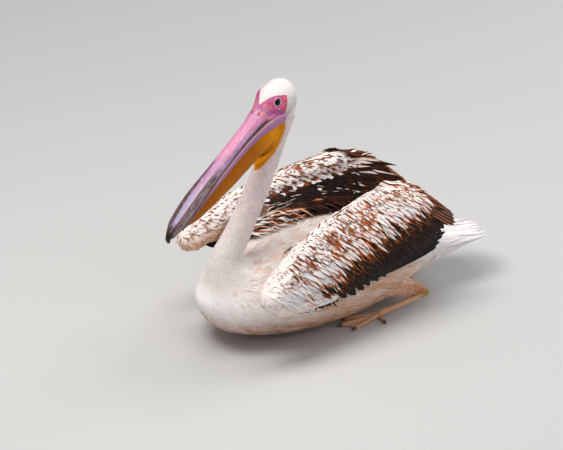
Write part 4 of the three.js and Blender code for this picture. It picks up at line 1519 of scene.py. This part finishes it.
edge = np.where(onInner, innerEdge, 0.3 * (dice.random(count) < 0.5 - 0.4 * nearWrist))
tint = blend(tint, tones("dark", count, 0.4),
             dark & (dice.random(count) < 0.45 + 0.9 * np.clip(depth, 0, 0.5)))
share = 0.36 + 0.12 * (which < 0) + 0.45 * smooth(-0.35, 0, depth)
share = share * (1 - 0.52 * front * (1 + 0.9 * which))
brown = ~dark & (area != 7) & (dice.random(count) < share)
small = brown & (area == 4)
tint = blend(tint, blend(rusty(count, 0.3, 1), tones("dark", count, 0.3), smooth(-0.2, 0.05, depth)), brown)
spot = np.where(brown, 0, spot)
speck = dark & (dice.random(count) < 0.1 + 0.5 * (1 - smooth(0.2, 0.6, spotA[wingRoots])))
tint = blend(tint, tones("dark", count, 0.4), dark & ~speck)
edge = np.where(dark, 0, np.clip(edge, 0, 0.72)) * ~brown
rust = tones("rufous", count, 0.3)
streaky = blend(tones("cream", count), tones("brown", count), dice.random(count) < 0.45)
streaky = blend(rust, streaky, dice.random(count) < 0.7)
streaky = blend(streaky, shades["dark"], (dice.random(count) < 0.85) * smooth(0.25, 0.5, spotA[wingRoots]))
tint = blend(tint, streaky, smooth(0.3, 0.6, scapular))
edge = edge * (1 - smooth(0.3, 0.6, scapular))
streak = speck * dice.uniform(0.3, 0.7, count)  # a pale streak on a dark feather
tint = blend(tint, blend(tones("dark", count, 0.3), shades["brown"], 0.6 * dice.random(count)), speck)
mark = blend(mark, blend(tones("white", count, 0.1), shades["peach"], dice.random(count) * 0.5), speck)
pattern = np.column_stack([spot, streak, edge])
foreRight = (which < 0) & (p[:, 1] < -60)  # the right wrist is tan below and speckled with rust
under = 1 - smooth(-26, 12, p[:, 2] - 204 - 0.42 * (p[:, 1] + 240))
tint = blend(tint, shades["wristTan"], 0.85 * foreRight * under * (1 - 0.7 * smooth(-150, -100, p[:, 1])))
mark = np.where((~onInner & (p[:, 1] < -60))[:, None], rusty(count, 0, 0.7), mark)
foreLeft = (which > 0) & ~onInner & (p[:, 1] < -120)  # the left wrist turns peach below
# Peach towards the bottom of the left wrist: partly its own colour, partly painted shade on its underside.
warmth = np.clip(0.12 + 0.42 * (1 - smooth(132, 196, p[:, 2])) + 0.1 * ripple(p, 25, 19), 0, 0.6)
tint = blend(tint, shades["peach"], foreLeft * warmth)
lengths = (18 + 20 * scapular + 3 * onInner) * np.where(small & (p[:, 1] < -20), 0.55, 1)
path, normal = layAlong(p, lengths * jitter(count, 0.2), 3.0 * jitter(count, 0.5))
width = (4.4 + 1.2 * onInner - 3.2 * scapular) * np.where(brown, 0.5, 1)
width = width * np.where(small, 0.72, 1) * np.where(speck, 0.6, 1)
rows = {
    "path": path, "normal": normal, "width": width * jitter(count, 0.15), "thick": np.full(count, 0.45),
    "roll": 0.12 * dice.uniform(-1, 1, count), "bend": 1.6 * dice.uniform(-1, 1, count),
    "arch": np.full(count, 0.1),
    "tint": tint, "mark": mark, "pattern": pattern,
    "uv": np.column_stack([spotA[wingRoots] * 0.5 + 0.5 * (which < 0), v]),
}
for sideName, side in sides.items():
    upperArm = [f"wing_{sideName}_upper_arm"]
    plant(f"covertsTrail{sideName.title()}", lancet, trailRows(side), covertMaterial,
          upperArm)
    plant(f"scapulars{sideName.title()}", lancet, scapularRows(side), covertMaterial,
          upperArm)
    inner = gather(rows, which == side)
    nodes = [f"wing_{sideName}_{part}" for part in ("hand", "upper_arm")]
    plant(f"covertsInner{sideName.title()}", lance, inner, covertMaterial, nodes)

print("tail")
tailLook = {
    "feathers": {"count": 22, "out": (0, 0, 1), "bow": 6, "shift": (0, 0, 2), "width": 8.5, "thick": 0.8,
                 "roll": 0.1},
    "top": {"count": 34, "out": (0, 0, 1), "bow": 5, "shift": (0, 0, 1.5), "width": 5.2, "thick": 0.5,
            "roll": 0.1},
    "flank": {
        "count": 30, "out": (0.8, 0, -0.6), "bow": 3, "shift": (1.0, 0, -0.4), "width": 4.8, "thick": 0.5,
        "roll": 0.1,
    },
}
tailTips = [[x, 487 - 0.009 * x * x, 110 + 0.1 * x] for x in (-62, -31, 0, 31, 62)]
rows = fanRows(1, [[x, 318, 130] for x in (-42, 0, 42)], tailTips, tailLook["feathers"])
count = len(rows["width"])
rows["bend"] = 5 * dice.uniform(-1, 1, count)
lift = np.linspace(0, 1, rows["path"].shape[1])[None] ** 2 * dice.uniform(-3, 3, (count, 1))
rows["path"][:, :, 2] += lift
plant("tailFeathers", quillShape, coloured(rows, "white", "lilac", (0, 0.05, 0.3)), tailMaterial,
      ["tail"])
blocks = []
begin, end = ([[x, 326 - 0.4 * abs(x), 138 - 0.3 * abs(x)] for x in (-62, -36, 0, 36, 62)],
              [[x, 444 - 0.5 * abs(x), 117] for x in (-66, -34, 0, 34, 66)])
for start in (0, 0.3):  # over the root of the tail
    blocks.append(fanRows(1, begin, end, tailLook["top"], (start, 0.72 + start), steps=6))
begin = [[54, 300, 146], [67, 312, 116], [56, 334, 86], [28, 352, 72], [-6, 358, 69]]
end = [[56, 456, 122], [62, 470, 114], [48, 462, 107], [24, 452, 101], [-4, 448, 99]]
for side in sides.values():  # up from the flanks and the vent, along the sides of the tail
    for start in (-0.3, -0.05, 0.2, 0.45):
        blocks.append(fanRows(side, begin, end, tailLook["flank"], (start, 0.52 + start), steps=6))
for rows in blocks:
    count = len(rows["width"])
    rows["bend"] = 6 * dice.uniform(-1, 1, count)
    loose = np.linspace(0, 1, 7)[None, :, None] * dice.uniform(-12, 12, (count, 1, 1))
    rows["path"] += np.array([0, 1, 0.3]) * loose
    coloured(rows, "white", "lilac", (0, 0, 0.3))
plant("tailCoverts", lancet, stacked(blocks), tailMaterial, ["tail"])


billLook = {
    "pink": "#BE7CA2", "rose": "#D990AA", "lilac": "#A080AC", "blueGrey": "#61748E", "sky": "#86A2C2",
    "maroon": "#24101A", "nostril": "#5A0C18", "yellow": "#D9BC7C", "crust": "#E2622A",
    "commissure": "#4A0E0C",
    "mauve": "#A8649A", "nail": "#24100C", "gold": "#C8883A", "olive": "#7A6434", "amber": "#BE6A00",
    "bright": "#FFA600", "deep": "#7C3E00", "orange": "#F09800",
}
billShades = {name: linear(code) for name, code in billLook.items()}


def placed(piece):  # keeps the place on the head, in centimetres, for the patterns that run along the bill
    left, ahead, up = faceOf(corners(piece) / mm)
    keep(piece, "facePlace", np.column_stack([left, ahead, up]), "FLOAT_VECTOR")
    return left, ahead, up


def edgeLine(ahead):  # height of the upper bill's cutting edge
    return np.interp(ahead, [3.8, 9, 13.4, 21.6, 31, 37.7, 42.7], [-1.2, -0.55, -0.2, 0.2, 0.5, 0.0, -0.8])


def makeUpperBill():
    def place(t, angle):
        p = loft("maxilla", t, angle)
        table = np.array(body["maxilla"], float)
        station = spline(table, t)
        x = (p[:, 0] - station[:, 0]) / np.maximum(station[:, 3], 1)
        top = np.cos(angle) > 0
        fade = smooth(0.03, 0.2, t) * (1 - smooth(0.9, 0.99, t))
        ridge = -1.1 * bump(np.abs(x), 0.4, 0.09) + 0.6 * bump(x, 0, 0.28)
        flare = -0.7 * bump(np.abs(x), 0.82, 0.12)
        p[:, 2] += np.where(top, (ridge + flare) * fade, 0)
        return fromHead(p)
    piece = ball("billUpper", 96, 150, place)
    left, ahead, up = placed(piece)
    table = np.array(body["maxilla"], float)
    half = np.interp(ahead, -table[:, 1] / 10, table[:, 3] / 10)
    across = np.abs(left) / np.maximum(half, 0.2)
    colour = np.tile(billShades["pink"], (len(left), 1))
    colour = blend(colour, billShades["rose"], 0.8 * bump(ahead, 17, 8) * bump(across, 0.1, 0.5))
    colour = blend(colour, billShades["lilac"],
                   0.6 * smooth(0.5, 0.8, across) * smooth(8, 14, ahead) + 0.8 * smooth(15, 26, ahead))
    middle = bump(across, 0, np.interp(ahead, [18, 28, 42], [0.5, 0.3, 0.2]))
    # Pale blue along the top of the ridge towards the tip: partly the horn's own colour, partly a painted
    # reflection of the sky.
    colour = blend(colour, billShades["sky"], 0.9 * middle * smooth(26, 34, ahead))
    wavy = ahead + 3 * ripple(np.column_stack([left, ahead, up]), 3, 51)
    dark = smooth(0.26, 0.44, across + 0.01 * (ahead - 30)) * smooth(18, 27, wavy)
    colour = blend(colour, billShades["maroon"], 0.95 * dark)
    colour = blend(colour, billShades["yellow"],
                   0.5 * bump(across, np.interp(ahead, [24, 42], [0.34, 0.24]), 0.05)
                   * smooth(22, 27, ahead) * (1 - smooth(36, 39, ahead)))
    colour = blend(colour, billShades["maroon"], 0.8 * smooth(38.5, 41, ahead))
    low = 1 - smooth(0.3, 0.75,
                     up - edgeLine(ahead) + 0.3 * ripple(np.column_stack([left, ahead * 0.6, up]), 1.3, 52))
    colour = blend(colour, billShades["blueGrey"], 0.95 * low * smooth(4.5, 8, ahead) * (1 - 0.5 * dark))
    colour = blend(colour, billShades["olive"], 0.6 * low * dark)
    colour = blend(colour, faceShades["billPink"], 0.7 * (1 - smooth(4.5, 7.5, ahead)))
    gap = np.abs(left)
    root = 4.15 + 0.28 * gap ** 2 - 0.25 * gap
    colour = blend(colour, billShades["crust"], 0.8 * bump(ahead, root + 0.4, 0.16) * (up > -0.9))
    colour = blend(colour, billShades["crust"],
                   0.6 * bump(np.hypot(ahead - 5.6, gap - 1.15), 0.72, 0.15) * (ahead < 6.1))
    slit = ((ahead - 5.5 - 0.5 * (gap - 0.95)) / 0.62) ** 2 + ((gap - 0.95) / 0.24) ** 2 < 1
    colour[slit & (up > -0.5)] = billShades["nostril"]
    paint(piece, "tint", np.clip(colour, 0, 1))
    keep(piece, "blotched", 0.55 + 0.45 * smooth(4, 9, ahead) - 0.6 * dark, "FLOAT")
    softShade(piece)
    finishPiece(piece, ["bill_upper"],
                hornMaterial("billHornUpper", "#C2486C", "#E2BCD0", (0.7, 0.42)))
    return piece


def makeNail():
    piece = ball("billNail", 32, 40, lambda t, a: fromHead(loft("nail", t, a)))
    left, ahead, up = placed(piece)
    colour = np.tile(billShades["nail"], (len(left), 1))
    colour = blend(colour, billShades["gold"], (1 - smooth(-2.2, -0.9, up)) * smooth(42, 43.2, ahead))
    # The same pale blue on the top of the nail's root: partly its own colour, partly a painted reflection of
    # the sky.
    colour = blend(colour, billShades["sky"], 0.4 * (1 - smooth(40.2, 40.9, ahead)) * bump(left, 0, 0.3))
    paint(piece, "tint", colour)
    keep(piece, "blotched", np.full(len(left), 0.5), "FLOAT")
    softShade(piece)
    finishPiece(piece, ["bill_nail"],
                hornMaterial("nailHorn", "#2A0C0A", "#6A4030", (0.6, 0.2), 0.36))


def makeLowerBill():
    rami = []
    for side in sides.values():
        def place(t, angle):  # thicker towards the root
            girth = 1 + 0.38 * (1 - smooth(0.1, 0.42, t))
            return fromHead(flip(loft("ramus", t, angle, girth=girth), side))
        rami.append(ball("ramus", 32, 130, place))
    piece = joinPieces("billLower", rami)
    left, ahead, up = placed(piece)
    table = np.array(body["ramus"], float)
    middle = np.interp(ahead, -table[:, 1] / 10, table[:, 2] / 10)
    reach = np.interp(ahead, -table[:, 1] / 10, table[:, 4] / 10)
    reach = reach * (1 + 0.38 * (1 - smooth(2.2, 11, ahead)))
    high = (up - middle) / np.maximum(reach, 0.2)
    colour = np.tile(billShades["mauve"], (len(left), 1))
    colour = blend(colour, billShades["lilac"], 0.5 * bump(high, 0.25, 0.5))
    colour = blend(colour, billShades["blueGrey"], 0.3 * (1 - smooth(-0.9, -0.2, high)))
    colour = blend(colour, faceShades["billPink"], 0.5 * (1 - smooth(3, 9, ahead)))
    colour = blend(colour, billShades["maroon"], 0.6 * smooth(24, 34, ahead))
    colour = blend(colour, billShades["yellow"],
                   0.55 * bump(high, 0.82, 0.09) * smooth(2.5, 5, ahead) * (1 - smooth(24, 32, ahead)))
    colour = blend(colour, billShades["olive"], 0.7 * smooth(0.3, 0.7, high) * smooth(24, 32, ahead))
    colour = blend(colour, billShades["commissure"], smooth(0.86, 0.94, high))
    paint(piece, "tint", np.clip(colour, 0, 1))
    keep(piece, "blotched", 0.45 * smooth(3, 8, ahead), "FLOAT")
    softShade(piece)
    finishPiece(piece, ["bill_lower"],
                hornMaterial("billHornLower", "#7E4A78", "#CFA6C6", (0.5, 0.4)))


def makePouch():
    bag = ball("bag", 48, 70, lambda t, a: fromHead(loft("pouch", t, a)))
    throat = ball("throat", 40, 40, lambda t, a: loft("throat", t, a))
    piece = joinPieces("throatPouch", [bag, throat])
    remesh(piece, 2.4)
    applied(piece, "SMOOTH", factor=0.5, iterations=6)
    co = corners(piece)
    left, ahead, up = faceOf(co / mm)
    normals = np.empty(len(co) * 3, np.float32)
    piece.data.vertices.foreach_get("normal", normals)
    normals = normals.reshape(-1, 3)
    place = np.column_stack([left, ahead, up])
    folds = 0.35 * ripple(place * np.array([1, 0.5, 2.2]), 3.2, 41)
    folds = folds + 0.25 * ripple(place * np.array([1, 1.6, 0.7]), 1.6, 42)
    crease = bump(up - 0.1 * (ahead - 9), -10.2, 0.34)  # where the bag meets the throat's lobe
    crease = crease * smooth(5.4, 7.6, ahead) * (1 - smooth(12.2, 13.4, ahead))
    co += normals * ((folds - 3.0 * crease) * mm)[:, None]
    moveCorners(piece, co)
    left, ahead, up = placed(piece)
    lobe = (1 - smooth(4.2, 6.4, ahead - 0.35 * (up + 9))) * (1 - smooth(-6.0, -2.4, up))
    colour = np.tile(billShades["amber"], (len(left), 1))
    # Darker towards the front and yellow-orange towards the rear and on the lobe: partly the skin's own
    # colours, partly painted shade under the bill and painted light on the lobe.
    colour = blend(colour, billShades["deep"], 0.3 * smooth(18, 36, ahead))
    colour = blend(colour, billShades["bright"],
                   np.maximum(lobe, 1 - smooth(-10.8, -10.0, up - 0.1 * (ahead - 9))))
    colour = blend(colour, billShades["orange"], 0.85 * (1 - smooth(6.0, 13.0, ahead)))
    # Painted shade: dark in the crease between the bag and the lobe, and a soft dark patch above it.
    colour = blend(colour, billShades["deep"],
                   np.maximum(0.95 * crease, 0.45 * bump(up, -9.2, 0.9) * bump(ahead, 8.4, 1.9)))
    paint(piece, "tint", np.clip(colour, 0, 1))
    softShade(piece)
    finishPiece(piece, ["pouch"], pouchMaterial())


def makeEyes():
    colours = {"pupil": linear("#050303"), "iris": linear("#140806"), "white": linear("#2A1612")}
    material = eyeMaterial()
    axis = eyeAxis * np.array([1, -1, 1])
    centre = eyeSpot * np.array([10, -10, 10])
    for sideName, side in sides.items():
        def place(t, angle):
            height = 1 - 2 * t
            width = np.sqrt(np.maximum(0, 1 - height ** 2))
            polar = np.column_stack([height, np.sin(angle) * width, np.cos(angle) * width])
            swell = 1 + 0.05 * smooth(0.76, 0.92, polar @ axis)
            return fromHead(flip(polar * swell[:, None] * head["eyeRadius"] + centre, side))
        piece = ball(f"eye{sideName.title()}", 48, 40, place)
        q = flip(toHead(corners(piece) / mm), side) - centre
        wide = np.degrees(np.arccos(np.clip(unit(q) @ axis, -1, 1)))
        colour = blend(np.tile(colours["pupil"], (len(q), 1)), colours["iris"], smooth(24, 27, wide))
        colour = blend(colour, colours["white"], smooth(50, 56, wide))
        paint(piece, "tint", colour)
        softShade(piece)
        finishPiece(piece, [f"eye_{sideName}"], material)


print("bill and eyes")
makeUpperBill()
makeNail()
makeLowerBill()
makePouch()
makeEyes()


footLook = {
    "toes": (84, 104, 88), "spread": (-20, 0, 20), "at": (98, 142), "turn": -4,
    "skin": "#E8B48A", "joint": "#A8842A", "claw": "#6A5040",
}


def swung(p, a):  # turned by the angle a round the upright axis
    x, y = p[:, 0], p[:, 1]
    return np.column_stack([x * math.cos(a) - y * math.sin(a), x * math.sin(a) + y * math.cos(a), p[:, 2]])


def footPoint(p, side):
    return flip(swung(p, math.radians(footLook["turn"])) + np.array([*footLook["at"], 0]), side)


def toeTable(length):
    return [[0, 6, 8, 7, 5, 8], [0, -length * 0.5, 6, 5, 4, 6], [0, -length, 5, 3.5, 3, 5],
            [0, -length - 10, 3, 1.5, 1.5, 3]]


def makeLegs(material):
    for sideName, side in sides.items():
        shank = ball(f"shank{sideName.title()}", 28, 60, lambda t, a: flip(loft("tarsus", t, a), side))
        co = corners(shank)
        co[:, 2] = np.maximum(co[:, 2], 0.1 * mm)
        moveCorners(shank, co)
        joint = 1 - smooth(232, 262, co[:, 1] / mm)
        olive = np.tile(linear(footLook["joint"]), (len(co), 1))
        paint(shank, "tint", blend(olive, linear(footLook["skin"]), joint))
        softShade(shank)
        finishPiece(shank, [f"leg_{sideName}_shank"], material)
        pieces = []
        toes = [(footLook["toes"][i], footLook["spread"][i]) for i in range(3)] + [(34, 82)]
        for length, turned in toes:
            body["toe"], rounding["toe"] = toeTable(length), (0.1, 0.15)
            a = math.radians(turned)

            def place(t, angle):
                p = loft("toe", t, angle)
                knuckle = 1 + 0.12 * np.sin(t * 12.5) ** 8
                p[:, 0] *= knuckle
                return footPoint(swung(p, a), side)
            pieces.append(ball("toe", 16, 40, place))

        def web(u, v):
            turned = np.radians(footLook["spread"][0] + (footLook["spread"][2] - footLook["spread"][0]) * u)
            sag = 1 - 0.16 * (1 - np.abs(2 * np.abs((2 * u) % 1 - 0.5)))
            first, second = footLook["toes"][:2]
            reach = v * sag * (first + (second - first) * np.sin(math.pi * u))
            q = np.column_stack([np.sin(turned) * reach, -np.cos(turned) * reach - 4, 4 + 0 * u])
            return footPoint(q, side)
        pieces.append(slab("web", 20, 12, web, 2.6))
        foot = joinPieces(f"foot{sideName.title()}", pieces)
        remesh(foot, 1.3)
        applied(foot, "SMOOTH", factor=0.5, iterations=3)
        co = corners(foot)
        co[:, 2] = np.maximum(co[:, 2], 0.1 * mm)
        moveCorners(foot, co)
        tips = np.full(len(co), 1000.0)  # how far each corner is from the nearest claw
        for length, turned in toes:
            reach, a = length + 5, math.radians(turned)
            claw = footPoint(np.array([[math.sin(a) * reach, -math.cos(a) * reach, 0.0]]), side)[0, :2]
            tips = np.minimum(tips, np.linalg.norm(co[:, :2] / mm - claw, axis=1))
        horn = np.tile(linear(footLook["claw"]), (len(co), 1))
        paint(foot, "tint", blend(horn, linear(footLook["skin"]), smooth(6, 9, tips)))
        softShade(foot)
        finishPiece(foot, [f"leg_{sideName}_foot"], material)


print("legs")
makeLegs(scaleMaterial())


stage = {
    "floor": "#C4C3C1", "azimuth": 57, "elevation": 28, "distance": 20.0, "right": -0.0607, "up": 0.1667,
    "view": 1.34048,
    "key": 88, "fill": 22, "rim": 54, "top": 24,
}
clear()
bpy.ops.mesh.primitive_plane_add(size=14, location=(0, 0, -0.0005))
floor = bpy.context.object
floor.name = "floor"
paper, _, paperShader = newMaterial("paleStudioFloor", Roughness=0.9, IOR=1.45)
paperShader.inputs["Base Color"].default_value = four(stage["floor"])
floor.data.materials.append(paper)

world = bpy.data.worlds.new("studio")
bpy.context.scene.world = world
world.use_nodes = True
world.node_tree.nodes["Background"].inputs[0].default_value = (0.86, 0.88, 0.92, 1)
world.node_tree.nodes["Background"].inputs[1].default_value = 0.42

azimuth, elevation = math.radians(stage["azimuth"]), math.radians(stage["elevation"])
back = Vector((math.sin(azimuth) * math.cos(elevation), -math.cos(azimuth) * math.cos(elevation),
               math.sin(elevation)))
right = Vector((math.cos(azimuth), math.sin(azimuth), 0))
upward = back.cross(right)
target = Vector((0, 0, 0.055)) + right * stage["right"] + upward * stage["up"]


def addLight(name, direction, distance, size, power, colour):
    way = right * direction[0] + Vector((0, 0, 1)) * direction[2] + back * direction[1]
    place = Vector((0, 0, 0.3)) + way.normalized() * distance
    bpy.ops.object.light_add(type="AREA", location=place)
    lamp = bpy.context.object
    lamp.name = name
    lamp.data.shape = "DISK"
    lamp.data.size = size
    lamp.data.energy = power
    lamp.data.color = colour
    lamp.rotation_euler = (Vector((0, 0, 0.25)) - place).to_track_quat("-Z", "Y").to_euler()


addLight("keyLight", (-0.55, 0.45, 1.25), 3.4, 1.8, stage["key"], (1.0, 0.98, 0.95))
addLight("fillLight", (0.9, 0.9, 0.6), 4.2, 2.8, stage["fill"], (0.95, 0.97, 1.0))
addLight("rimLight", (0.9, -0.8, 0.9), 4.0, 2.0, stage["rim"], (1.0, 1.0, 1.0))
addLight("topLight", (0.25, 0.1, 2.0), 3.2, 1.6, stage["top"], (1.0, 0.99, 0.98))

bpy.ops.object.camera_add(location=back * stage["distance"])
camera = bpy.context.object
camera.rotation_euler = (target - camera.location).to_track_quat("-Z", "Y").to_euler()
camera.data.sensor_width = 36
camera.data.lens = 36 * stage["distance"] / stage["view"]
camera.data.clip_end = 100
bpy.context.scene.camera = camera
bpy.context.scene.view_settings.view_transform = "Standard"
